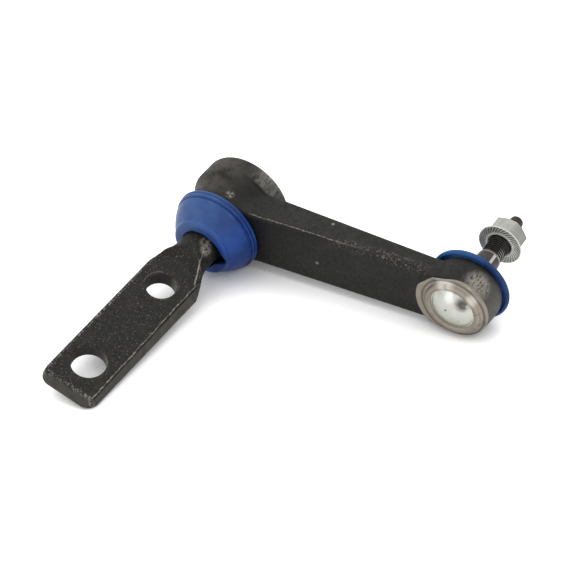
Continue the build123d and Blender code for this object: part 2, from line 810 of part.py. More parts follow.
def end_plug():
    """Dished plug that closes the rear of the boss."""
    back = circlip_station()
    front = back - plug_thickness
    outer = rear_pocket_radius
    flat = outer - plug_rim
    return turned(
        Line((outer, front), (outer, back)),
        Line((outer, back), (flat, back)),
        dome_arc(flat, back, back + plug_dish),
        Line((0, back + plug_dish), (0, front + plug_dish)),
        dome_arc(flat, front, front + plug_dish),
        Line((flat, front), (outer, front)),
    )


def plug_circlip():
    """Internal circlip behind the plug, open at one side with two plier eyes."""
    start = circlip_station()
    outer = rear_pocket_radius + circlip_bite
    inner = rear_pocket_radius - circlip_width
    band = Circle(outer) - Circle(inner)
    opening = Pos(0, -rear_pocket_radius) * Rectangle(circlip_opening, circlip_opening_depth)
    ears = [
        Pos(side * circlip_ear_at, circlip_ear - rear_pocket_radius)
        * (Circle(circlip_ear) - Circle(circlip_eye))
        for side in (-1, 1)
    ]
    outline = (band - opening) + [ear & Circle(outer) for ear in ears]
    return along_y(outline, start, start + circlip_gauge)


def bowed(start, end, bulge):
    """Arc from start to end that bows to the right of the chord by a given rise."""
    run = (end[0] - start[0], end[1] - start[1])
    length = sqrt(run[0] ** 2 + run[1] ** 2)
    middle = (
        (start[0] + end[0]) / 2 - bulge * run[1] / length,
        (start[1] + end[1]) / 2 + bulge * run[0] / length,
    )
    return ThreePointArc(start, middle, end)


def pivot_boot():
    """Bell-shaped boot: two ribs at its base, a bowed bell, a crease and a thick lip."""
    rib = pivot_boot_rib
    rib_foot = pivot_boot_radius - pivot_boot_rib_crown
    front = -pivot_boot_length
    cut = pivot_boot_crease_cut
    groove = (pivot_boot_groove, -2 * rib - pivot_boot_groove_width)
    shoulder = (pivot_boot_shoulder, -pivot_boot_shoulder_at)
    crease = (pivot_boot_crease, -pivot_boot_crease_at)
    lip_back = (pivot_boot_crease - cut, -pivot_boot_crease_at - cut)
    lip_edge = (pivot_boot_lip, front)
    face_edge = (pivot_boot_mouth + pivot_boot_mouth_edge, front)
    mouth_edge = (pivot_boot_mouth, front + pivot_boot_mouth_edge)
    mouth_back = (pivot_boot_mouth, -pivot_boot_crease_at - pivot_boot_mouth_back)
    inner_crease = (pivot_boot_crease - pivot_boot_wall, pivot_boot_roof - pivot_boot_crease_at)
    inner_shoulder = (
        pivot_boot_shoulder - pivot_boot_shoulder_wall,
        pivot_boot_shoulder_drop - pivot_boot_shoulder_at,
    )
    return turned(
        Line((pivot_boot_seat, 0), (rib_foot, 0)),
        bowed((rib_foot, 0), (rib_foot, -rib), pivot_boot_rib_crown),
        bowed((rib_foot, -rib), (rib_foot, -2 * rib), pivot_boot_rib_step),
        Line((rib_foot, -2 * rib), groove),
        Line(groove, shoulder),
        bowed(shoulder, crease, pivot_boot_bulge),
        Line(crease, lip_back),
        bowed(lip_back, lip_edge, pivot_boot_lip_bulge),
        Line(lip_edge, face_edge),
        Line(face_edge, mouth_edge),
        Line(mouth_edge, mouth_back),
        Line(mouth_back, inner_crease),
        bowed(inner_crease, inner_shoulder, -pivot_boot_bulge),
        Line(inner_shoulder, (pivot_boot_seat, 0)),
    )


pieces = {
    "idler_arm": idler_arm(),
    "pivot_bracket": pivot_bracket(),
    "front_bush": front_bush(),
    "rear_bush": rear_bush(),
    "front_thrust_washer": front_thrust_washer(),
    "rear_thrust_washer": rear_thrust_washer(),
    "pivot_seal": pivot_seal(),
    "pivot_disc_spring": pivot_disc_spring(),
    "pivot_lock_nut": pivot_lock_nut(),
    "pivot_cotter_pin": pivot_cotter_pin(),
    "end_plug": end_plug(),
    "plug_circlip": plug_circlip(),
    "pivot_boot": pivot_boot(),
    "ball_stud": at_ball_end(ball_stud()),
    "front_ball_seat": at_ball_end(front_seat()),
    "rear_ball_seat": at_ball_end(rear_seat()),
    "preload_spring": at_ball_end(preload_spring()),
    "cover_plate": at_ball_end(cover_plate()),
    "ball_boot": at_ball_end(ball_boot()),
    "flange_nut": at_ball_end(flange_nut()),
}

for name, piece in pieces.items():
    export_step(piece, f"parts/{name}.step")
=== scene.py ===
import json
from math import atan2, cos, exp, hypot, pi, radians, sin

import bpy
from mathutils import Matrix, Vector


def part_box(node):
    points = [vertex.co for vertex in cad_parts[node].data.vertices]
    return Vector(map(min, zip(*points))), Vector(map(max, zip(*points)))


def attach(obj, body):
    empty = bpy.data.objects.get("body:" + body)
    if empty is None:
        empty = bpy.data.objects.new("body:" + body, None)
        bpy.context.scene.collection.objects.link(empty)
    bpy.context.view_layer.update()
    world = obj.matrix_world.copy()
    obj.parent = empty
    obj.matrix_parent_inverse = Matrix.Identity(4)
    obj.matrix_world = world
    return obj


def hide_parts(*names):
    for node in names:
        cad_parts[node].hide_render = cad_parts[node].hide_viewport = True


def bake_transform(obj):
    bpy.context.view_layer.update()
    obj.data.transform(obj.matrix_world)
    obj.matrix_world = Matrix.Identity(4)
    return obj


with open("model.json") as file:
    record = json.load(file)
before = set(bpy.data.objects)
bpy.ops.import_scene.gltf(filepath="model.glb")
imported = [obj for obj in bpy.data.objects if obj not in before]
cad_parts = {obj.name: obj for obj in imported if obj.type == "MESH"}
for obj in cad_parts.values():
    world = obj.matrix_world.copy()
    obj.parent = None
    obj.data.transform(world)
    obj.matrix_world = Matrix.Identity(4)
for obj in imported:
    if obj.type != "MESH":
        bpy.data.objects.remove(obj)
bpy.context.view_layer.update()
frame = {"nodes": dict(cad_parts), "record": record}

# Lengths are in millimetres, and MM turns them into metres.
MM = 0.001

# Camera, from the circles and straight edges of the photograph
CAMERA_PLACE = (415.87, -447.86, 496.03)
CAMERA_RIGHT = (0.8332, 0.5361, -0.1356)
CAMERA_DOWN = (0.2818, -0.6226, -0.7300)
LENS = 87.03
SENSOR = 36.0

# Places that the pieces share, from the frame
BALL_AXIS = frame["record"]["behaviour"]["joints"][1]["pos_m"][0] / MM
BALL_CENTRE = frame["record"]["behaviour"]["joints"][1]["pos_m"][1] / MM
PLATE_NORMAL = frame["record"]["mounts"][0]["axis"]
PLATE_TURN = atan2(PLATE_NORMAL[0], PLATE_NORMAL[2])
HOLES = [
    (mount["pos_m"][1] / MM, mount["dims"]["r_mm"])
    for mount in frame["record"]["mounts"] if mount["kind"] == "bore"
]

# Pivot boot, measured from its base
BELL_RADIUS = 26.6
BELL_RIB = 2.1
BELL_RIB_CROWN = 0.75
BELL_GROOVE = 24.6
BELL_SHOULDER = (25.2, 5.8)
BELL_CREASE = (18.3, 16.4)
BELL_BULGE = 0.5
BELL_LIP = (16.2, 18.9)
BELL_LIP_BULGE = 0.5
BELL_MOUTH = 12.9
BELL_SEAT = 20.5
BELL_WALL = 2.3
BELL_LEAN = (0.79, -0.61)      # direction in x and z in which the boot sits off the axis
BELL_OFFSET = 0.2              # at its base
BELL_LIP_OFFSET = 0.6          # at its lip
BELL_MOUTH_OFFSET = 0.9        # and further at the mouth, which is pulled to one side
BELL_FOLD = (-13, 14)          # angle and spread, in degrees, of a fold that widens the mouth
BELL_FOLD_LIP = 0.8
BELL_FOLD_MOUTH = 2.6
BELL_TUCK = (-52, 18)          # angle and spread of the lip's thicker part beside the fold
BELL_TUCK_DEPTH = 2.0
BELL_ROUND = 0.55
BELL_OVAL = 0.12               # unevenness of the rubber toward the lip
BELL_WAVE = 0.07
BELL_SOFT_FROM = 0.8           # share of the height from which the fold and tuck show

# Ball stud boot
SKIRT_RIM = 22.4
SKIRT_FRONT = 15.1
SKIRT_BEAD = 1.8
SKIRT_BEAD_HEIGHT = 2.8
SKIRT_SEAT = 16.05
SKIRT_NOSE = 16.6
SKIRT_RIDGE = (18.9, 0.45)
SKIRT_COLLAR = 9.8
SKIRT_COLLAR_END = 27.5
SKIRT_COLLAR_LENGTH = 3.0
SKIRT_BORE = 7.2
SKIRT_WALL = 2.4
SKIRT_RIM_WIDTH = 2.3
SKIRT_ROUND = 0.4

# Ball stud and its nut
BALL = 10.5
BALL_FLAT = 8.9
NECK = 5.5
TAPER = ((7.1, 27.5), (6.45, 37.8))
NECK_FLARE = 6.0
THREAD = 5.9
THREAD_START = 38.2
THREAD_END = 66.2
THREAD_PITCH = 1.5
THREAD_DEPTH = 0.75
PILOT = 3.8
STUD_END = 71.8
NUT_SEAT = 50.0
NUT_END = 62.0
NUT_FLATS = 19.0
NUT_FLANGE = 12.4
NUT_MOUTH = 7.2
NUT_TURN = radians(30)         # of the hexagon about the stud
NUT_TEETH = 36
NUT_TOOTH = 0.8
NUT_TOOTH_SLANT = 0.012        # turns of slant per millimetre of radius
NUT_RIM = NUT_SEAT + 1.2       # front of the cone between flange and hexagon
NUT_CONE = NUT_RIM + 2.4
NUT_CHAMFER = 1.2
NUT_PLAY = 0.05
NUT_TOOTH_RISE = 0.75          # share of a tooth's width that is its gentle flank
PILOT_GROOVE = 0.22
PILOT_ROUND = 0.8
THREAD_RUNOUT = 2.0            # length over which the first turns deepen

# Fineness of the meshes
CURVE_STEPS = 14
BALL_STEPS = 24
FLARE_STEPS = 8
PILOT_STEPS = 20
ROWS_PER_TURN = 10
BOOT_SEGMENTS = 168
STUD_SEGMENTS = 72
NUT_SEGMENTS = 480
SHARP_ANGLE = radians(38)
CORNER_ANGLE = radians(22)

# Range in which most values of a noise lie
SPREAD = (0.3, 0.7)

# Turn of the surface, as one less its cosine, from which an edge counts and where it counts in full
EDGE_TURN = (0.02, 0.2)

# Specular level of paint and rubber
DULL = 0.3

# Black paint: dark, pale, specks, the level at which specks start, the rounding of the corners
ARM_PAINT = ((0.0105, 0.0101, 0.0082), (0.0172, 0.0162, 0.0130), (0.085, 0.08, 0.07), 0.63, 4.5)
BRACKET_PAINT = ((0.0085, 0.008, 0.0066), (0.0165, 0.0155, 0.0128), (0.20, 0.19, 0.16), 0.575, 1.2)
PIT_PAINT = (0.007, 0.007, 0.0065)
BROWN_PAINT = (0.070, 0.060, 0.049)
RUBBED_PAINT = (0.105, 0.10, 0.092)
DUSTY_PAINT = (0.175, 0.167, 0.15)
FLANK_PAINT = (0.060, 0.056, 0.046)
# Painted shade, for the arm's front beside the boot flange and a line beside the plate's right edge
PAINTED_SHADE = (0.002, 0.002, 0.002)
# Painted shade in the crease at the boss
CREASE_SHADE = (0.001, 0.001, 0.001)
BORED_LOW = (0.02, 0.019, 0.017)
BORED_HIGH = (0.05, 0.047, 0.042)
BORED_LIT = (0.185, 0.172, 0.148)

# Steel of the forgings and of the stud
SCUFFED_STEEL = (0.33, 0.31, 0.27)
WORN_STEEL = (0.44, 0.42, 0.37)
RUSTY_STEEL = (0.20, 0.145, 0.09)
SHAFT_STEEL = (0.34, 0.33, 0.31)
TURNED_LOW = (0.28, 0.245, 0.20)
TURNED_HIGH = (0.46, 0.41, 0.345)
# Painted highlight on the machined ring
RING_HIGHLIGHT_STEEL = (0.82, 0.77, 0.70)
STAINED_STEEL = (0.16, 0.135, 0.115)
# Painted shade along the ledge of the ball housing
LEDGE_SHADE_STEEL = (0.07, 0.06, 0.05)
THREAD_OILED = (0.010, 0.009, 0.008)
THREAD_DRY = (0.030, 0.026, 0.023)
# Painted highlight on the thread crests
CREST_HIGHLIGHT_STEEL = (0.48, 0.46, 0.43)
PILOT_STEEL = (0.062, 0.056, 0.05)
TAPER_LOW = (0.06, 0.056, 0.05)
TAPER_HIGH = (0.13, 0.122, 0.11)
TAPER_OILED = (0.045, 0.04, 0.035)
# Painted highlight streak on the taper
TAPER_HIGHLIGHT = (0.72, 0.70, 0.67)
TAPER_RING = (0.42, 0.40, 0.38)

# Zinc of the nut and the dome
NUT_LOW = (0.44, 0.445, 0.40)
NUT_HIGH = (0.55, 0.555, 0.50)
# Painted shade on the nut's right side
NUT_SHADED_SIDE = (0.24, 0.24, 0.225)
# Painted light on the nut's bearing face
NUT_PAINTED_LIGHT_FACE = (0.78, 0.785, 0.72)
# Dirt and painted shade between the teeth
NUT_GRIME_AND_SHADE = (0.16, 0.152, 0.125)
DOME_LOW = (0.68, 0.69, 0.625)
DOME_HIGH = (0.76, 0.77, 0.70)
# Painted highlight on the dome
DOME_HIGHLIGHT = (0.98, 0.98, 0.96)
# Painted dark reflection on the dome
DOME_PAINTED_REFLECTION = (0.075, 0.066, 0.062)
DOME_MARK = (0.10, 0.095, 0.09)
# Painted shade at the dome's rim
DOME_GAP_SHADE = (0.03, 0.028, 0.025)

# Pieces inside, by material: low, high, roughness, metallic and the nodes
INNER = {
    "bearing_bronze": (
        (0.40, 0.28, 0.13), (0.58, 0.43, 0.22), 0.35, 1.0, ("front_bush", "rear_bush")),
    "plain_steel": (
        (0.30, 0.30, 0.29), (0.44, 0.43, 0.41), 0.34, 1.0,
        ("front_thrust_washer", "rear_thrust_washer", "pivot_lock_nut", "pivot_cotter_pin", "end_plug")),
    "spring_steel": (
        (0.05, 0.05, 0.055), (0.10, 0.10, 0.11), 0.38, 1.0,
        ("pivot_disc_spring", "plug_circlip", "preload_spring")),
    "white_plastic": (
        (0.66, 0.64, 0.58), (0.76, 0.74, 0.68), 0.45, 0.0, ("front_ball_seat", "rear_ball_seat")),
    "black_rubber": (
        (0.014, 0.014, 0.014), (0.03, 0.03, 0.03), 0.6, 0.0, ("pivot_seal",)),
}

# Blue rubber: deep, light, the paler colour of dust bloom and painted sheen, its place and reach, the
# station of a painted highlight line
BELL_RUBBER = (
    (0.004, 0.031, 0.175), (0.011, 0.070, 0.325), (0.053, 0.118, 0.31), (-14, -11, 17), 40, -5.4)
SKIRT_RUBBER = (
    (0.004, 0.028, 0.13), (0.012, 0.062, 0.24), (0.028, 0.125, 0.36), (136, 15, 22), 26, 14.7)
# Painted highlight line on the rubber
RUBBER_HIGHLIGHT = (0.10, 0.19, 0.46)
RUBBER_DUST = (0.16, 0.21, 0.32)

# Marks, painted highlights, painted reflection and painted shade: centre and reach
BOSS_BROWN = ((-12, 20, 22), 30)
BOSS_DUST = ((21.5, 28, 19), 17)
BOSS_REAR_SCUFF = ((19.5, 33, 20), 9)
BOSS_TOP_SCUFF = ((8.6, 5.8, 23.1), 3.4)
BOSS_SHADE_SPOT = ((17.5, 18.5, 18.5), 9)
HOUSING_SCUFF = ((162, 3.5, 15.2), 10)
BAR_TOP_SCUFF = ((70.9, 12.3, 17.4), 1.2)
BAR_FRONT_SCUFF = ((65.5, 0, -2.6), 1.3)
RING_NOTCH = ((138.5, -2.7, 16), 13)
RING_HIGHLIGHT = ((146.5, -3.5, 16), 7)
RING_HIGHLIGHT_RIGHT = ((162.5, -5.5, 11), 5)
NECK_UPPER = ((7.9, -21.2, 8.2), 4.6)
NECK_LOWER = ((9.6, -23.6, 6.0), 5.2)
DOME_HIGHLIGHT_SPOT = ((149.4, -6.5, 8.4), 4.2)
DOME_REFLECTION_SPOT = ((157.2, -6.2, 6.6), 6.0)
DOME_DENT = ((147.8, -6.5, 0.7), 1.0)
DOME_SCRATCHES = ((147.5, -6.5, 1.5), 3.5)
THREAD_HIGHLIGHT_SPOT = ((155.5, 41.5, 1.5), 5)

# Shoulder line on the neck, the plate's worn lines and the painted shadow line beside the right one, by
# their distance across the plate
SHOULDER_SLOPE = 0.41
SHOULDER_ACROSS = -4.3
RIGHT_LINE = 14.8
RIGHT_SHADOW_LINE = 15.5
LEFT_LINE = -14.6
TIP_LINE = -136.0

# Direction in z and x of the painted highlight streak on the stud's taper
STREAK_SLOPE = (0.67, 0.74)

# Lamps and floor, in metres. A lamp has a place, a target, a width and a power.
LAMPS = {
    "top": ((-0.30, 0.40, 0.95), (0.06, 0.0, 0.0), 0.4, 1.1),
    "gloss": ((0.68, -0.08, 0.76), (0.06, 0.0, 0.0), 0.18, 0.7),
    "glint": ((-0.24, -0.93, 0.05), (0.15, 0, 0), 0.16, 0.5),
}
WORLD_STRENGTH = 0.85
FLOOR_HALF = 6.0
FLOOR_GREY = 0.86
FLOOR_DROP = 0.0002            # gap under the object
FLOOR_OPEN_REACH = 0.05        # distance over which the object darkens the floor
FLOOR_GLOW = (0.06, 0.78)      # in the deepest corner, and in the open
FLOOR_IN_METAL = 0.2           # share of that glow that reflections see


class Graph:
    """The node graph of one material, with a short call for each kind of node."""

    def __init__(self, name):
        self.material = bpy.data.materials.new(name)
        self.material.use_nodes = True
        self.tree = self.material.node_tree
        self.tree.nodes.clear()
        output = self.node("ShaderNodeOutputMaterial")
        self.shader = self.node("ShaderNodeBsdfPrincipled")
        self.join(self.shader.outputs["BSDF"], output.inputs["Surface"])
        scale = self.node("ShaderNodeVectorMath", operation="SCALE")
        scale.inputs["Scale"].default_value = 1 / MM
        self.join(self.node("ShaderNodeTexCoord").outputs["Object"], scale.inputs[0])
        self.place = scale.outputs[0]
        split = self.node("ShaderNodeSeparateXYZ")
        self.join(self.place, split.inputs[0])
        self.x, self.y, self.z = split.outputs

    def node(self, kind, **settings):
        """New node with its settings."""
        made = self.tree.nodes.new(kind)
        for key, value in settings.items():
            setattr(made, key, value)
        return made

    def join(self, output, target):
        """Link an output to an input."""
        self.tree.links.new(output, target)

    def feed(self, value, target):
        """Link a socket, or set a plain number or colour."""
        if isinstance(value, bpy.types.NodeSocket):
            self.join(value, target)
        elif isinstance(value, tuple) and len(value) == 3 and target.type == "RGBA":
            target.default_value = (*value, 1)
        else:
            target.default_value = value

    def math(self, operation, first, second=0.0):
        """Result of an operation on sockets or plain numbers."""
        made = self.node("ShaderNodeMath", operation=operation)
        self.feed(first, made.inputs[0])
        self.feed(second, made.inputs[1])
        return made.outputs[0]

    def times(self, *values):
        """Product of sockets or plain numbers."""
        result = values[0]
        for value in values[1:]:
            result = self.math("MULTIPLY", result, value)
        return result

    def level(self, value, low, high, bottom=0.0, top=1.0):
        """Smooth step of a value between two levels."""
        made = self.node("ShaderNodeMapRange", interpolation_type="SMOOTHSTEP")
        self.feed(value, made.inputs["Value"])
        made.inputs["From Min"].default_value = low
        made.inputs["From Max"].default_value = high
        made.inputs["To Min"].default_value = bottom
        made.inputs["To Max"].default_value = top
        return made.outputs["Result"]

    def noise(self, size, detail, roughness=0.5, place=None, distortion=0.0):
        """Noise from 0 to 1, with clouds of a size in millimetres."""
        made = self.node("ShaderNodeTexNoise")
        self.feed(place or self.place, made.inputs["Vector"])
        made.inputs["Scale"].default_value = 1 / size
        made.inputs["Detail"].default_value = detail
        made.inputs["Roughness"].default_value = roughness
        made.inputs["Distortion"].default_value = distortion
        return made.outputs["Fac"]

    def stretched(self, factors):
        """Place with each axis divided by a factor, for marks that run one way."""
        made = self.node("ShaderNodeVectorMath", operation="DIVIDE")
        self.join(self.place, made.inputs[0])
        made.inputs[1].default_value = factors
        return made.outputs[0]

    def around(self, axis_x, length):
        """Noise place for turning marks about an axis along Y, drawn out by a length along it."""
        made = self.node("ShaderNodeCombineXYZ")
        self.feed(self.distance(axis_x), made.inputs[0])
        self.feed(self.math("DIVIDE", self.y, length), made.inputs[1])
        return made.outputs[0]

    def distance(self, axis_x):
        """Distance from an axis along Y."""
        side = self.math("SUBTRACT", self.x, axis_x)
        square = self.math("ADD", self.times(side, side), self.times(self.z, self.z))
        return self.math("SQRT", square)

    def spot(self, centre, radius):
        """One at a place, falling to nothing at a radius from it."""
        made = self.node("ShaderNodeVectorMath", operation="DISTANCE")
        self.join(self.place, made.inputs[0])
        made.inputs[1].default_value = centre
        return self.level(made.outputs["Value"], radius, 0.3 * radius)

    def band(self, value, middle, half):
        """One at a value, falling to nothing at a distance from it."""
        off = self.math("ABSOLUTE", self.math("SUBTRACT", value, middle))
        return self.level(off, half, 0.4 * half)

    def edge(self, radius):
        """One where the surface turns within a radius."""
        bevel = self.node("ShaderNodeBevel", samples=6)
        bevel.inputs["Radius"].default_value = radius * MM
        dot = self.node("ShaderNodeVectorMath", operation="DOT_PRODUCT")
        self.join(bevel.outputs["Normal"], dot.inputs[0])
        self.join(self.node("ShaderNodeNewGeometry").outputs["Normal"], dot.inputs[1])
        turn = self.math("SUBTRACT", 1.0, dot.outputs["Value"])
        return self.level(turn, *EDGE_TURN)

    def rounded(self, radius):
        """Normal that turns gently through creases and corners, as on a forging."""
        bevel = self.node("ShaderNodeBevel", samples=8)
        bevel.inputs["Radius"].default_value = radius * MM
        return bevel.outputs["Normal"]

    def mix(self, factor, first, second):
        """First colour at a factor of 0, second at 1."""
        made = self.node("ShaderNodeMix", data_type="RGBA")
        self.feed(factor, made.inputs[0])
        self.feed(first, made.inputs[6])
        self.feed(second, made.inputs[7])
        return made.outputs[2]

    def blend(self, factor, first, second):
        """First number at a factor of 0, second at 1."""
        made = self.node("ShaderNodeMix", data_type="FLOAT")
        self.feed(factor, made.inputs[0])
        self.feed(first, made.inputs[2])
        self.feed(second, made.inputs[3])
        return made.outputs[0]

    def bump(self, height, depth, normal=None):
        """Normal of a surface raised by a height from 0 to 1 times a depth."""
        made = self.node("ShaderNodeBump")
        made.inputs["Strength"].default_value = 1.0
        made.inputs["Distance"].default_value = depth * MM
        self.join(height, made.inputs["Height"])
        if normal is not None:
            self.join(normal, made.inputs["Normal"])
        return made.outputs["Normal"]

    def set(self, color, roughness, metallic, normal=None, **constants):
        """Feed the surface's shader and return the material."""
        sockets = {"Base Color": color, "Roughness": roughness, "Metallic": metallic, "Normal": normal}
        for name, value in sockets.items():
            if value is not None:
                self.feed(value, self.shader.inputs[name])
        for name, value in constants.items():
            self.shader.inputs[name.replace("_", " ")].default_value = value
        return self.material


def forged_skin(graph, dark, light, speck_color, speck_low, rounding):
    """Colour, roughness and relief that both black-painted forgings share."""
    blotch = graph.level(graph.noise(11, 4, 0.6), 0.38, 0.68)
    grain = graph.noise(0.9, 5, 0.7)
    specks = graph.level(grain, speck_low, speck_low + 0.09)
    color = graph.mix(blotch, dark, light)
    color = graph.mix(graph.level(graph.noise(1.7, 3), 0.35, 0.7, 0.0, 0.5), color, PIT_PAINT)
    color = graph.mix(graph.times(specks, 0.8), color, speck_color)
    roughness = graph.level(graph.noise(2.4, 3), *SPREAD, 0.42, 0.62)
    normal = graph.bump(graph.noise(3.2, 3), 0.35, graph.rounded(rounding))
    normal = graph.bump(grain, 0.20, normal)
    return color, roughness, normal


def worn_edges(graph, radius, gap, low, high):
    """Bare metal along the edges, broken up by gaps of a size."""
    broken = graph.level(graph.noise(gap, 4, 0.7), low, high)
    return graph.times(graph.edge(radius), broken)


def arm_material():
    """Black paint with scuffs, and the machined ring and rolled lip of the ball housing."""
    graph = Graph("black_forging_arm")
    color, roughness, normal = forged_skin(graph, *ARM_PAINT)
    boss = graph.distance(0)
    ball = graph.distance(BALL_AXIS)

    # Brownish paint on the boss's upper side and on the ball housing's side
    brown = graph.times(graph.spot(*BOSS_BROWN), graph.level(graph.noise(6, 4), 0.3, 0.6))
    color = graph.mix(graph.times(brown, 0.85), color, BROWN_PAINT)
    side = graph.times(
        graph.level(ball, 23, 21), graph.level(graph.x, BALL_AXIS - 6, BALL_AXIS + 4),
        graph.level(graph.z, 20, 2))
    color = graph.mix(graph.times(side, 0.85), color, RUBBED_PAINT)
    shoulder = graph.times(
        graph.spot(*BOSS_DUST), graph.level(graph.y, 19.5, 21.5),
        graph.level(graph.noise(2.6, 4, 0.7, graph.stretched((1, 2.5, 1))), 0.3, 0.62))
    color = graph.mix(graph.times(shoulder, 0.85), color, DUSTY_PAINT)
    # Painted shade on the arm's front face beside the boot flange
    shade = graph.times(graph.level(graph.y, 1.4, 0.9), graph.level(graph.x, 40, 27))
    color = graph.mix(graph.times(shade, 0.85), color, PAINTED_SHADE)

    # Scuffs down to bare metal
    rear_scuff = graph.times(
        graph.spot(*BOSS_REAR_SCUFF), graph.level(graph.y, 20, 22),
        graph.level(graph.noise(1.5, 4, 0.7), 0.44, 0.58))
    boss_scuff = graph.times(graph.spot(*BOSS_TOP_SCUFF), graph.level(graph.noise(1.2, 3), 0.42, 0.6))
    streaks = graph.noise(1.7, 5, 0.85, graph.stretched((0.7, 1.8, 0.7)))
    side_scuff = graph.times(graph.spot(*HOUSING_SCUFF), graph.level(streaks, 0.38, 0.56))
    top_scuff = graph.times(graph.spot(*BAR_TOP_SCUFF), 0.9)
    front_scuff = graph.times(graph.spot(*BAR_FRONT_SCUFF), 0.9)
    chewed = graph.times(
        graph.level(graph.z, 13.0, 15.5), graph.band(graph.y, 1.6, 5.0),
        graph.level(graph.x, 70, 84), graph.level(graph.x, 138, 130))
    nicks = graph.times(chewed, graph.level(graph.noise(1.5, 4, 0.85, distortion=0.8), 0.50, 0.60))
    wave = graph.math("SUBTRACT", graph.noise(5, 3, 0.6), 0.5)
    wavy = graph.math("ADD", graph.y, graph.times(wave, 1.5))
    line = graph.times(
        graph.band(wavy, 1.3, 0.46), graph.level(graph.z, 14.6, 15.8), graph.level(graph.x, 22.5, 24.5),
        graph.level(graph.x, 104, 84), graph.level(graph.noise(1.6, 4, 0.8), 0.40, 0.60, 0.15, 1.0))
    edges = graph.times(worn_edges(graph, 0.8, 3.0, 0.52, 0.68), graph.level(boss, 27, 31))
    bare = graph.math("MAXIMUM", graph.times(edges, 0.35), graph.times(line, 0.75))
    for mark in (
        graph.times(rear_scuff, 0.7), graph.times(boss_scuff, 0.8), side_scuff,
        top_scuff, front_scuff, graph.times(nicks, 0.62),
    ):
        bare = graph.math("MAXIMUM", bare, mark)
    color = graph.mix(bare, color, SCUFFED_STEEL)
    normal = graph.bump(graph.math("SUBTRACT", 1.0, nicks), 0.35, normal)

    # Painted shade in the crease between the boss's drum and the arm's top, which the relief also dips
    crease = graph.times(graph.band(graph.y, 18.6, 1.0), graph.spot(*BOSS_SHADE_SPOT))
    color = graph.mix(crease, color, CREASE_SHADE)
    normal = graph.bump(graph.math("SUBTRACT", 1.0, crease), 0.5, normal)

    # Machined ring and rolled lip, with turning marks and painted highlights
    upper = graph.times(graph.level(graph.z, -3, 13), graph.level(graph.x, 158, 146))
    fore = graph.math("ADD", graph.y, graph.times(upper, 1.75))
    reach = graph.math("ADD", ball, graph.times(graph.spot(*RING_NOTCH), 1.9))
    ring = graph.times(graph.level(fore, -0.55, -0.75), graph.level(reach, 22.0, 21.7))
    pocket = graph.times(graph.level(boss, 19.6, 19.2), graph.level(graph.y, 16.0, 17.0))
    machined = graph.math("MAXIMUM", ring, pocket)
    turned = graph.noise(0.55, 3, 0.6, graph.around(BALL_AXIS, 3.0))
    metal = graph.mix(graph.level(turned, *SPREAD), TURNED_LOW, TURNED_HIGH)
    # Painted highlights: two bright spots on the machined ring
    ring_highlight = graph.math("MAXIMUM", graph.spot(*RING_HIGHLIGHT), graph.spot(*RING_HIGHLIGHT_RIGHT))
    metal = graph.mix(graph.times(ring_highlight, 0.8), metal, RING_HIGHLIGHT_STEEL)
    stain = graph.level(graph.noise(5, 4), 0.45, 0.75)
    metal = graph.mix(graph.times(stain, 0.55), metal, STAINED_STEEL)
    # Painted shade in a narrow ring along the ledge of the ball housing
    ledge_shade = graph.band(ball, 17.9, 0.9)
    metal = graph.mix(graph.times(ledge_shade, 0.6), metal, LEDGE_SHADE_STEEL)
    color = graph.mix(machined, color, metal)
    roughness = graph.blend(bare, roughness, 0.38)
    roughness = graph.blend(machined, roughness, graph.level(turned, *SPREAD, 0.30, 0.44))
    metallic = graph.math("MAXIMUM", graph.times(bare, 0.7), graph.times(machined, 0.9))
    smooth = graph.bump(turned, 0.03)
    turn = graph.node("ShaderNodeMix", data_type="VECTOR")
    graph.join(machined, turn.inputs[0])
    graph.join(normal, turn.inputs[4])
    graph.join(smooth, turn.inputs[5])
    return graph.set(color, roughness, metallic, turn.outputs[1], Specular_IOR_Level=DULL)


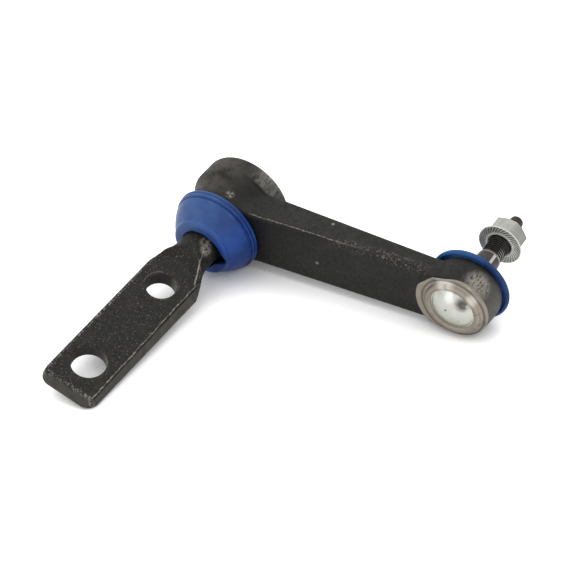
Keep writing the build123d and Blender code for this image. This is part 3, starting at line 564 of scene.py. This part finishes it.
def bracket_material():
    """Black paint worn along the edges and the neck, bare walls in the holes, and a bare shaft."""
    graph = Graph("black_forging_bracket")
    color, roughness, normal = forged_skin(graph, *BRACKET_PAINT)

    # Coordinate across the plate, and the walls of its two holes
    across = graph.math(
        "SUBTRACT", graph.times(graph.x, cos(PLATE_TURN)), graph.times(graph.z, sin(PLATE_TURN)))
    walls = 0.0
    burrs = 0.0
    for station, radius in HOLES:
        along = graph.math("SUBTRACT", graph.y, station)
        off = graph.math("SQRT", graph.math("ADD", graph.times(across, across), graph.times(along, along)))
        walls = graph.math("MAXIMUM", walls, graph.level(off, radius + 0.35, radius + 0.15))
        burrs = graph.math("MAXIMUM", burrs, graph.band(off, radius + 1.0, 0.35))
    bored = graph.mix(graph.noise(0.8, 3, 0.6, graph.stretched((1, 1, 5))), BORED_LOW, BORED_HIGH)
    # Painted light: the hole walls paler toward one side across the plate
    bored = graph.mix(graph.level(across, 0, 7.5), bored, BORED_LIT)
    color = graph.mix(walls, color, bored)
    burrs = graph.times(burrs, graph.level(graph.noise(4, 3), 0.52, 0.62), graph.level(graph.y, -75, -65))

    # Bare metal: edges, the shoulder on the neck and the plate's free end
    sway = graph.times(graph.math("SUBTRACT", graph.noise(6, 3, 0.6), 0.5), 1.3)
    swayed = graph.math("ADD", across, sway)
    height = graph.math(
        "ADD", graph.times(graph.x, sin(PLATE_TURN)), graph.times(graph.z, cos(PLATE_TURN)))
    front = graph.level(height, 1.2, 2.2)
    ahead = graph.level(graph.y, -40, -46)
    right = graph.times(
        graph.band(swayed, RIGHT_LINE, 0.42), front, ahead,
        graph.level(graph.noise(1.8, 4, 0.85), 0.42, 0.60, 0.2, 1.0))
    oblique = graph.math("ADD", swayed, graph.times(graph.y, SHOULDER_SLOPE))
    shoulder = graph.times(
        graph.band(oblique, SHOULDER_ACROSS, 0.6), front,
        graph.level(graph.y, -45, -43), graph.level(graph.y, -22, -25),
        graph.level(graph.noise(1.8, 4, 0.85), 0.38, 0.58, 0.2, 1.0))
    right = graph.math("MAXIMUM", right, shoulder)
    # Painted shadow: a dark line beside the worn line along the plate's right edge
    edge_shadow = graph.times(graph.band(swayed, RIGHT_SHADOW_LINE, 0.45), front, ahead)
    color = graph.mix(edge_shadow, color, PAINTED_SHADE)
    sides = graph.level(graph.math("ABSOLUTE", across), 15.6, 15.9)
    flank = graph.math("MAXIMUM", sides, graph.level(graph.y, -136.9, -137.4))
    flank = graph.times(
        flank, graph.level(graph.y, -38, -50), graph.level(graph.noise(5, 4), 0.25, 0.6, 0.5, 1.0))
    color = graph.mix(flank, color, FLANK_PAINT)
    left = graph.times(
        graph.band(across, LEFT_LINE, 1.5), front, ahead, graph.level(graph.noise(1.2, 4, 0.8), 0.52, 0.62))
    edges = graph.times(worn_edges(graph, 1.4, 2.2, 0.42, 0.60), 0.5)
    edges = graph.math("MAXIMUM", edges, graph.math("MAXIMUM", right, left))
    rubbed = graph.noise(1.5, 4, 0.8, graph.stretched((0.8, 1.7, 0.8)), 0.6)
    patch = graph.math("MAXIMUM", graph.spot(*NECK_UPPER), graph.spot(*NECK_LOWER))
    neck = graph.times(patch, graph.level(rubbed, 0.42, 0.60))
    corner = graph.band(graph.y, TIP_LINE, 1.6)
    tip = graph.times(corner, graph.level(graph.noise(1.6, 4, 0.75), 0.46, 0.58))
    bare = graph.math("MAXIMUM", graph.times(edges, 0.85), neck)
    bare = graph.math("MAXIMUM", bare, graph.times(burrs, 0.4))
    bare = graph.math("MAXIMUM", bare, graph.times(tip, 0.6))
    rust = graph.level(graph.noise(4, 3), 0.42, 0.66)
    metal = graph.mix(graph.times(rust, 0.7), WORN_STEEL, RUSTY_STEEL)
    color = graph.mix(bare, color, metal)
    shaft = graph.level(graph.y, -12.5, -11.5)
    color = graph.mix(shaft, color, SHAFT_STEEL)
    roughness = graph.blend(bare, roughness, 0.36)
    roughness = graph.blend(shaft, roughness, 0.3)
    metallic = graph.math("MAXIMUM", graph.times(bare, 0.6), shaft)
    return graph.set(color, roughness, metallic, normal, Specular_IOR_Level=DULL)


def rubber_material(name, deep, light, dust_and_sheen, dust_and_sheen_place, dust_and_sheen_reach, highlight_station):
    """Blue rubber, paler where a bloom of dust with painted sheen lies on it, and with a painted highlight
    line at a station.
    """
    graph = Graph(name)
    cloud = graph.level(graph.noise(13, 3), 0.35, 0.7)
    color = graph.mix(cloud, deep, light)
    settled = graph.level(graph.noise(9, 4, 0.6), 0.25, 0.65, 0.55, 1.0)
    # Paler around a given place: a dust bloom, with painted sheen
    pale = graph.times(graph.spot(dust_and_sheen_place, dust_and_sheen_reach), settled)
    color = graph.mix(pale, color, dust_and_sheen)
    # Painted highlight line at a station, on the upper part
    highlight_strength = graph.level(graph.noise(6, 3), 0.35, 0.6, 0.3, 0.8)
    line = graph.times(graph.band(graph.y, highlight_station, 0.4), highlight_strength, graph.level(graph.z, -12, 2))
    color = graph.mix(line, color, RUBBER_HIGHLIGHT)
    dust = graph.level(graph.noise(1.1, 4, 0.7), 0.66, 0.8)
    color = graph.mix(graph.times(dust, 0.15), color, RUBBER_DUST)
    roughness = graph.level(graph.noise(8, 4, 0.6), 0.35, 0.7, 0.24, 0.36)
    normal = graph.bump(graph.noise(0.5, 3), 0.015)
    normal = graph.bump(graph.noise(7, 2), 0.22, normal)
    return graph.set(color, roughness, 0.0, normal, Specular_IOR_Level=DULL)


def nut_material():
    """Zinc plate with dirt and painted shade between the teeth, painted shade on its right side and painted
    light on its bearing face.
    """
    graph = Graph("zinc_nut")
    cloud = graph.level(graph.noise(4.5, 4, 0.6), 0.32, 0.7)
    color = graph.mix(cloud, NUT_LOW, NUT_HIGH)
    # Painted shade: darker toward the nut's right side
    right = graph.level(graph.x, BALL_AXIS + 4, BALL_AXIS + 8)
    color = graph.mix(graph.times(right, 0.55), color, NUT_SHADED_SIDE)
    away = graph.distance(BALL_AXIS)
    face = graph.level(graph.y, NUT_SEAT + NUT_TOOTH + 0.1, NUT_SEAT + NUT_TOOTH)
    teeth = graph.times(
        face, graph.level(away, 12.2, 11.9), graph.level(graph.y, NUT_SEAT + 0.15, NUT_SEAT + 0.55))
    # Painted light: the bearing face paler than the rest of the zinc
    color = graph.mix(face, color, NUT_PAINTED_LIGHT_FACE)
    # Dirt between the teeth, with painted shade that is heavier toward the top
    upper = graph.level(graph.z, -1, -6, 1.0, 0.45)
    grime_and_shade = graph.times(teeth, upper, graph.level(graph.noise(6, 3), 0.25, 0.6, 0.6, 1.0))
    color = graph.mix(grime_and_shade, color, NUT_GRIME_AND_SHADE)
    roughness = graph.level(graph.noise(3, 4), *SPREAD, 0.26, 0.40)
    normal = graph.bump(graph.noise(0.35, 3), 0.02)
    metallic = graph.blend(face, 0.85, 0.4)
    return graph.set(color, roughness, metallic, normal)


def dome_material():
    """Zinc with a painted highlight and a painted dark reflection, a dent with fine scratches, and painted
    shade at the rim.
    """
    graph = Graph("zinc_dome")
    color = graph.mix(graph.level(graph.noise(7, 3, 0.5), *SPREAD), DOME_LOW, DOME_HIGH)
    # Painted highlight on the dome
    color = graph.mix(graph.times(graph.spot(*DOME_HIGHLIGHT_SPOT), 0.95), color, DOME_HIGHLIGHT)
    # Painted dark reflection beside the highlight
    dark_reflection = graph.times(graph.spot(*DOME_REFLECTION_SPOT), graph.level(graph.noise(3.5, 3), 0.25, 0.55))
    color = graph.mix(graph.times(dark_reflection, 0.92), color, DOME_PAINTED_REFLECTION)
    scratch = graph.times(
        graph.level(graph.noise(1.2, 3, 0.6, graph.stretched((0.25, 1, 2.5))), 0.66, 0.72),
        graph.spot(*DOME_SCRATCHES))
    marks = graph.math("MAXIMUM", graph.spot(*DOME_DENT), graph.times(scratch, 0.4))
    color = graph.mix(marks, color, DOME_MARK)
    # Painted shade at the dome's rim, where it meets the lip
    color = graph.mix(graph.level(graph.distance(BALL_AXIS), 12.45, 12.6), color, DOME_GAP_SHADE)
    roughness = graph.level(graph.noise(5, 3), *SPREAD, 0.24, 0.30)
    return graph.set(color, roughness, 0.9)


def stud_material():
    """Oiled steel: a dark thread with painted highlights on some crests, and a taper with a painted
    highlight streak.
    """
    graph = Graph("oiled_steel")
    taper = graph.level(graph.y, THREAD_START + 0.6, THREAD_START - 0.2)
    ahead = graph.math("SUBTRACT", graph.x, BALL_AXIS)
    aside = graph.math(
        "SUBTRACT", graph.times(graph.z, STREAK_SLOPE[0]), graph.times(ahead, STREAK_SLOPE[1]))
    # Painted highlight: a bright streak along the taper
    streak_highlight = graph.times(graph.band(aside, 0, 1.1), graph.level(graph.z, 0, 2))
    oil = graph.level(graph.noise(4, 4), 0.35, 0.65)
    dark = graph.mix(oil, THREAD_OILED, THREAD_DRY)
    # Painted highlight on the thread crests, strongest at one place
    crest = graph.level(graph.distance(BALL_AXIS), THREAD - 0.22, THREAD - 0.05)
    rubbed = graph.math("MAXIMUM", graph.spot(*THREAD_HIGHLIGHT_SPOT), 0.12)
    dark = graph.mix(graph.times(crest, rubbed), dark, CREST_HIGHLIGHT_STEEL)
    turned = graph.noise(0.4, 2, 0.5, graph.stretched((40, 1, 40)))
    bright = graph.mix(graph.level(turned, *SPREAD), TAPER_LOW, TAPER_HIGH)
    bright = graph.mix(graph.times(oil, 0.5), bright, TAPER_OILED)
    bright = graph.mix(graph.times(streak_highlight, 0.85), bright, TAPER_HIGHLIGHT)
    bright = graph.mix(graph.band(graph.y, THREAD_START - 0.5, 0.7), bright, TAPER_RING)
    pilot = graph.level(graph.y, THREAD_END - 1, THREAD_END)
    dark = graph.mix(graph.times(pilot, 0.8), dark, PILOT_STEEL)
    color = graph.mix(taper, dark, bright)
    roughness = graph.blend(taper, 0.30, 0.22)
    normal = graph.bump(graph.noise(0.6, 3), 0.03)
    return graph.set(color, roughness, 0.9, normal)


def inner_material(name, low, high, rough, metallic):
    """Plain material with fine turning marks, for a piece inside."""
    graph = Graph(name)
    turned = graph.noise(0.6, 3, 0.6, graph.around(0, 4.0))
    color = graph.mix(graph.level(turned, *SPREAD), low, high)
    normal = graph.bump(turned, 0.02)
    roughness = graph.level(graph.noise(3, 3), *SPREAD, rough - 0.06, rough + 0.08)
    return graph.set(color, roughness, metallic, normal)


def show(material, *nodes):
    """Give carried-over nodes their material."""
    for node in nodes:
        piece = frame["nodes"][node]
        piece.data.materials.clear()
        piece.data.materials.append(material)


def bow(start, end, rise, steps=CURVE_STEPS):
    """Points of a curve from start to end that stands off its chord by a rise, to the left."""
    across = (end[0] - start[0], end[1] - start[1])
    length = hypot(*across)
    normal = (-across[1] / length, across[0] / length)
    points = []
    for k in range(steps + 1):
        share = k / steps
        off = 4 * rise * share * (1 - share)
        points.append((
            start[0] + share * across[0] + off * normal[0],
            start[1] + share * across[1] + off * normal[1],
        ))
    return points


def soften(points, radius, steps=5):
    """Closed outline with its sharp corners rounded."""
    result = []
    count = len(points)
    for k in range(count):
        before = Vector(points[k - 1])
        here = Vector(points[k])
        after = Vector(points[(k + 1) % count])
        back = before - here
        ahead = after - here
        if back.length < 1e-6 or ahead.length < 1e-6:
            continue
        if pi - back.angle(ahead) < CORNER_ANGLE:
            result.append(tuple(here))
            continue
        start = here + back.normalized() * min(radius, 0.45 * back.length)
        end = here + ahead.normalized() * min(radius, 0.45 * ahead.length)
        for step in range(steps + 1):
            share = step / steps
            first = start.lerp(here, share)
            second = here.lerp(end, share)
            result.append(tuple(first.lerp(second, share)))
    return result


def swept_mesh(name, rows, segments, closed, shape):
    """Mesh about an axis along Y, from rows of (radius, y) and a function that shapes each point.

    shape(radius, y, angle) gives the point's x, y and z from the axis. A row of no radius is a point.
    """
    points = []
    starts = []
    for radius, y in rows:
        starts.append(len(points))
        if radius == 0:
            points.append(shape(radius, y, 0))
            continue
        for k in range(segments):
            points.append(shape(radius, y, 2 * pi * k / segments))
    faces = []
    pairs = len(rows) if closed else len(rows) - 1
    for row in range(pairs):
        following = (row + 1) % len(rows)
        a, b = starts[row], starts[following]
        for k in range(segments):
            ahead = (k + 1) % segments
            if rows[row][0] == 0:
                faces.append((a, b + k, b + ahead))
            elif rows[following][0] == 0:
                faces.append((a + k, b, a + ahead))
            else:
                faces.append((a + k, b + k, b + ahead, a + ahead))
    mesh = bpy.data.meshes.new(name)
    mesh.from_pydata([tuple(v * MM for v in point) for point in points], [], faces)
    mesh.validate()
    mesh.shade_smooth()
    mesh.set_sharp_from_angle(angle=SHARP_ANGLE)
    piece = bpy.data.objects.new(name, mesh)
    bpy.context.scene.collection.objects.link(piece)
    return piece


def about(axis_x):
    """Shape of a plain turned piece about an axis along Y."""
    return lambda radius, y, angle: (axis_x + radius * cos(angle), y, radius * sin(angle))


def swell_at(angle, middle, spread):
    """One at an angle, falling to nothing beside it. The middle and spread are in degrees."""
    off = (angle - radians(middle) + pi) % (2 * pi) - pi
    return exp(-(off / radians(spread)) ** 2)


def make_pivot_boot():
    """Bell boot with two ribs at its base, and a mouth pulled to one side."""
    rib_foot = BELL_RADIUS - BELL_RIB_CROWN
    shoulder = (BELL_SHOULDER[0], -BELL_SHOULDER[1])
    crease = (BELL_CREASE[0], -BELL_CREASE[1])
    groove_start = -2 * BELL_RIB - 0.15
    groove_end = -2 * BELL_RIB - 0.6
    lip_back = (crease[0] - 0.25, crease[1] - 0.3)
    lip = (BELL_LIP[0], -BELL_LIP[1])
    outline = [(BELL_SEAT, 0)]
    outline += bow((rib_foot, 0), (rib_foot, -BELL_RIB), BELL_RIB_CROWN)
    outline += bow((rib_foot - 0.1, -BELL_RIB), (rib_foot - 0.1, -2 * BELL_RIB), 0.75 * BELL_RIB_CROWN)
    outline += [(BELL_GROOVE, groove_start), (BELL_GROOVE, groove_end)]
    outline += bow(shoulder, crease, BELL_BULGE, 24)
    outline += bow(lip_back, lip, BELL_LIP_BULGE)
    outline += [
        (BELL_MOUTH, lip[1]),
        (BELL_MOUTH, crease[1] - 0.4),
        (crease[0] - BELL_WALL, crease[1] + 1.4),
        (shoulder[0] - 1.2 * BELL_WALL, shoulder[1] + 0.5),
    ]
    outline = soften(outline, BELL_ROUND)

    def shape(radius, y, angle):
        share = min(1, max(0, -y / BELL_LIP[1]))
        offset = BELL_OFFSET + share * (BELL_LIP_OFFSET - BELL_OFFSET)
        swell = BELL_OVAL * share * sin(2 * angle + 0.6) + BELL_WAVE * share * sin(5 * angle)
        reach = radius + swell
        if share > BELL_SOFT_FROM:
            inward = min(1, max(0, (BELL_LIP[0] + 1 - radius) / (BELL_LIP[0] + 1 - BELL_MOUTH)))
            offset += BELL_MOUTH_OFFSET * inward
            fold = swell_at(angle, *BELL_FOLD)
            tuck = swell_at(angle, *BELL_TUCK)
            outward = (share - BELL_SOFT_FROM) / (1 - BELL_SOFT_FROM)
            reach += fold * (BELL_FOLD_LIP * outward + BELL_FOLD_MOUTH * inward)
            reach -= tuck * BELL_TUCK_DEPTH * inward
        return (
            offset * BELL_LEAN[0] + reach * cos(angle), y, offset * BELL_LEAN[1] + reach * sin(angle))

    piece = swept_mesh("pivot_boot_rubber", outline, BOOT_SEGMENTS, True, shape)
    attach(piece, "arm")
    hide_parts("pivot_boot")
    return piece


def make_ball_boot():
    """Flat dust boot with a beaded rim, a collar on the stud, and a ridge on its front."""
    collar_from = SKIRT_COLLAR_END - SKIRT_COLLAR_LENGTH
    foot = SKIRT_SEAT
    inside = SKIRT_NOSE - SKIRT_WALL
    rim_inner = SKIRT_RIM - SKIRT_RIM_WIDTH
    ridge_radius, ridge_rise = SKIRT_RIDGE
    bead = SKIRT_RIM - SKIRT_BEAD
    bead_end = SKIRT_FRONT + SKIRT_BEAD_HEIGHT
    outline = [
        (SKIRT_BORE, SKIRT_COLLAR_END),
        (SKIRT_BORE, collar_from),
        (SKIRT_BORE + 1.4, collar_from - 1.2),
        (inside, foot + 2.6),
        (inside, foot),
        (SKIRT_NOSE + 1.4, foot),
        (ridge_radius - 0.5, foot + 0.5),
        (ridge_radius, foot + 0.5 - ridge_rise),
        (ridge_radius + 0.5, foot + 0.6),
        (rim_inner, foot + 0.7),
    ]
    outline += [
        (bead + SKIRT_BEAD * sin(pi * k / CURVE_STEPS),
         SKIRT_FRONT + SKIRT_BEAD_HEIGHT * (1 - cos(pi * k / CURVE_STEPS)) / 2)
        for k in range(CURVE_STEPS + 1)
    ]
    outline += bow((bead - 0.3, bead_end + 0.1), (SKIRT_NOSE - 1.2, collar_from - 2.4), -0.7)
    outline += bow((SKIRT_NOSE - 1.4, collar_from - 2.3), (SKIRT_COLLAR, collar_from + 0.2), 0.8)
    outline += [
        (SKIRT_COLLAR + 0.1, collar_from + 0.5),
        (SKIRT_COLLAR - 0.1, SKIRT_COLLAR_END),
    ]
    outline = soften(outline, SKIRT_ROUND)
    piece = swept_mesh("ball_boot_rubber", outline, BOOT_SEGMENTS, True, about(BALL_AXIS))
    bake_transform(piece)
    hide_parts("ball_boot")
    return piece


def make_stud():
    """Ball stud with its taper, a real thread and a grooved pilot end."""
    neck_at = BALL_CENTRE + (BALL ** 2 - NECK ** 2) ** 0.5
    flat = BALL_CENTRE - BALL_FLAT
    first = atan2((BALL ** 2 - BALL_FLAT ** 2) ** 0.5, -BALL_FLAT)
    last = atan2(NECK, neck_at - BALL_CENTRE)
    rows = [(0, flat)]
    for k in range(BALL_STEPS + 1):
        angle = first + (last - first) * k / BALL_STEPS
        rows.append((BALL * sin(angle), BALL_CENTRE + BALL * cos(angle)))
    (large, taper_start), (small, taper_end) = TAPER
    flare_start = taper_start - NECK_FLARE
    for k in range(FLARE_STEPS + 1):
        share = k / FLARE_STEPS
        ease = share * share * (3 - 2 * share)
        rows.append((NECK + ease * (large - NECK), flare_start + share * NECK_FLARE))
    rows += [(small, taper_end), (THREAD - 0.1, THREAD_START)]
    steps = int((THREAD_END - THREAD_START) / THREAD_PITCH * ROWS_PER_TURN)
    for k in range(1, steps):
        rows.append((THREAD, THREAD_START + (THREAD_END - THREAD_START) * k / steps))
    pilot_start = THREAD_END + THREAD - PILOT
    rows += [(THREAD - THREAD_DEPTH, THREAD_END), (PILOT, pilot_start - 0.5)]
    tip = STUD_END - PILOT_ROUND
    rows += [(PILOT, pilot_start + (tip - pilot_start) * k / PILOT_STEPS) for k in range(PILOT_STEPS + 1)]
    rows += [(PILOT - 0.3, STUD_END - 0.25), (PILOT - PILOT_ROUND, STUD_END), (0, STUD_END)]

    def shape(radius, y, angle):
        if radius == THREAD:
            turn = (y - THREAD_START) / THREAD_PITCH - angle / (2 * pi)
            depth = THREAD_DEPTH * min(1, (y - THREAD_START) / THREAD_RUNOUT)
            wave = abs(2 * (turn % 1) - 1)
            radius = radius - depth * max(0, min(1, 1.35 * wave - 0.15))
        if radius == PILOT and y > pilot_start:
            turn = y / THREAD_PITCH - angle / (2 * pi)
            radius = radius - PILOT_GROOVE * abs(2 * (turn % 1) - 1)
        return (BALL_AXIS + radius * cos(angle), y, radius * sin(angle))

    piece = swept_mesh("threaded_stud", rows, STUD_SEGMENTS, False, shape)
    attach(piece, "stud")
    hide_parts("ball_stud")
    return piece


def make_nut():
    """Flange nut with slanted teeth on its bearing face."""
    half = NUT_FLATS / 2
    corner = half / cos(pi / 6)
    bore = THREAD + NUT_PLAY
    rows = [(bore, NUT_SEAT + NUT_MOUTH - bore), (NUT_MOUTH, NUT_SEAT)]
    rows += [(NUT_MOUTH + 0.5 + (NUT_FLANGE - NUT_MOUTH - 1.3) * k / 7, NUT_SEAT) for k in range(8)]
    rows += [(NUT_FLANGE - 0.3, NUT_SEAT + 0.15), (NUT_FLANGE, NUT_SEAT + 0.5), (NUT_FLANGE, NUT_RIM - 0.2)]
    rows += [(NUT_FLANGE - 0.3, NUT_RIM + 0.1), (corner + 0.5, NUT_RIM + 0.8)]
    rows += [(corner, NUT_RIM + 0.9 + (NUT_CONE - NUT_RIM - 0.9) * k / 4) for k in range(5)]
    rows += [(corner, NUT_END - 2.0)]
    rows += [(corner - 1.9 * k / 6, NUT_END - NUT_CHAMFER + NUT_CHAMFER * k / 6) for k in range(7)]
    rows += [(bore + NUT_CHAMFER, NUT_END), (bore, NUT_END - NUT_CHAMFER)]
    steps = int((NUT_END - NUT_SEAT) / THREAD_PITCH)
    rows += [(bore, NUT_END - NUT_CHAMFER - 6.0 * k / steps) for k in range(1, steps)]

    def shape(radius, y, angle):
        turn = (angle - NUT_TURN + pi / 6) % (pi / 3) - pi / 6
        flat = half / cos(turn)
        if y > NUT_RIM + 0.6 and radius > half - 1:
            radius = min(radius, flat - 0.02 * max(0, abs(turn) - 0.45))
            if y < NUT_CONE:
                fall = (NUT_FLANGE - half) / (NUT_CONE - NUT_RIM)
                radius = max(radius, NUT_FLANGE - (y - NUT_RIM) * fall)
        if y == NUT_SEAT and radius > NUT_MOUTH + 0.4:
            phase = NUT_TEETH * angle / (2 * pi) + NUT_TOOTH_SLANT * NUT_TEETH * radius
            saw = phase % 1
            tooth = min(saw / NUT_TOOTH_RISE, (1 - saw) / (1 - NUT_TOOTH_RISE))
            inner = min(1, (radius - NUT_MOUTH - 0.5) / 0.8)
            y = y + NUT_TOOTH * (1 - tooth) * inner
        return (BALL_AXIS + radius * cos(angle), y, radius * sin(angle))

    piece = swept_mesh("serrated_nut", rows, NUT_SEGMENTS, True, shape)
    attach(piece, "stud")
    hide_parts("flange_nut")
    return piece


def make_camera():
    """Camera at the photograph's place."""
    right = Vector(CAMERA_RIGHT).normalized()
    down = Vector(CAMERA_DOWN)
    down = (down - right * down.dot(right)).normalized()
    forward = right.cross(down)
    data = bpy.data.cameras.new("camera")
    data.lens = LENS
    data.sensor_width = SENSOR
    data.clip_start = 0.05
    data.clip_end = 20
    camera = bpy.data.objects.new("camera", data)
    turn = Matrix((right, -down, -forward)).transposed().to_4x4()
    camera.matrix_world = Matrix.Translation(Vector(CAMERA_PLACE) * MM) @ turn
    bpy.context.scene.collection.objects.link(camera)
    bpy.context.scene.camera = camera


def make_floor():
    """White paper floor under the three places that the object rests on.

    It shows white to the camera and in the metal, and keeps the object's shadow.
    """
    boss = Vector((0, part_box("idler_arm")[1].y - 0.003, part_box("idler_arm")[0].z))
    boot = Vector((BALL_AXIS * MM, SKIRT_FRONT * MM, -SKIRT_RIM * MM))
    ends = [v.co for v in frame["nodes"]["pivot_bracket"].data.vertices]
    free_end = min(v.y for v in ends)
    plate = min((v for v in ends if v.y < free_end + 0.012), key=lambda v: v.z)
    up = (boot - boss).cross(Vector(plate) - boss).normalized()
    if up.z < 0:
        up = -up
    corners = []
    for across, along in ((-1, -1), (1, -1), (1, 1), (-1, 1)):
        x = across * FLOOR_HALF
        y = along * FLOOR_HALF
        z = boss.z - (up.x * (x - boss.x) + up.y * (y - boss.y)) / up.z
        corners.append((x, y, z - FLOOR_DROP))
    mesh = bpy.data.meshes.new("floor")
    mesh.from_pydata(corners, [], [(0, 1, 2, 3)])
    floor = bpy.data.objects.new("floor", mesh)
    bpy.context.scene.collection.objects.link(floor)
    graph = Graph("floor_paper")
    path = graph.node("ShaderNodeLightPath")
    open_sky = graph.node("ShaderNodeAmbientOcclusion", samples=8)
    open_sky.inputs["Distance"].default_value = FLOOR_OPEN_REACH
    lit = graph.level(open_sky.outputs["AO"], 0.2, 0.85, *FLOOR_GLOW)
    mirrored = graph.math("MAXIMUM", path.outputs["Is Glossy Ray"], path.outputs["Is Transmission Ray"])
    seen = graph.math("MAXIMUM", path.outputs["Is Camera Ray"], graph.times(mirrored, FLOOR_IN_METAL))
    graph.feed(graph.times(seen, lit), graph.shader.inputs["Emission Strength"])
    mesh.materials.append(graph.set(
        (FLOOR_GREY, FLOOR_GREY, FLOOR_GREY), 0.9, 0.0,
        Emission_Color=(1, 1, 1, 1), Specular_IOR_Level=0.0))


def area_light(name, place, target, width, power):
    """Square lamp at a place, turned to a target."""
    data = bpy.data.lights.new(name, "AREA")
    data.shape = "SQUARE"
    data.size = width
    data.energy = power
    lamp = bpy.data.objects.new(name, data)
    lamp.location = Vector(place)
    lamp.rotation_mode = "QUATERNION"
    lamp.rotation_quaternion = (Vector(target) - Vector(place)).to_track_quat("-Z", "Y")
    bpy.context.scene.collection.objects.link(lamp)


def make_light():
    """White surroundings and three soft lamps."""
    scene = bpy.context.scene
    scene.view_settings.view_transform = "Standard"
    world = bpy.data.worlds.new("studio")
    world.use_nodes = True
    scene.world = world
    background = world.node_tree.nodes["Background"]
    background.inputs["Color"].default_value = (1, 1, 1, 1)
    background.inputs["Strength"].default_value = WORLD_STRENGTH
    for name, lamp in LAMPS.items():
        area_light(name, *lamp)


make_camera()
make_floor()
make_light()

show(arm_material(), "idler_arm")
show(bracket_material(), "pivot_bracket")
show(dome_material(), "cover_plate")
for name, (low, high, rough, metallic, nodes) in INNER.items():
    show(inner_material(name, low, high, rough, metallic), *nodes)

make_pivot_boot().data.materials.append(rubber_material("blue_rubber", *BELL_RUBBER))
make_ball_boot().data.materials.append(rubber_material("blue_rubber_rear", *SKIRT_RUBBER))
make_stud().data.materials.append(stud_material())
make_nut().data.materials.append(nut_material())
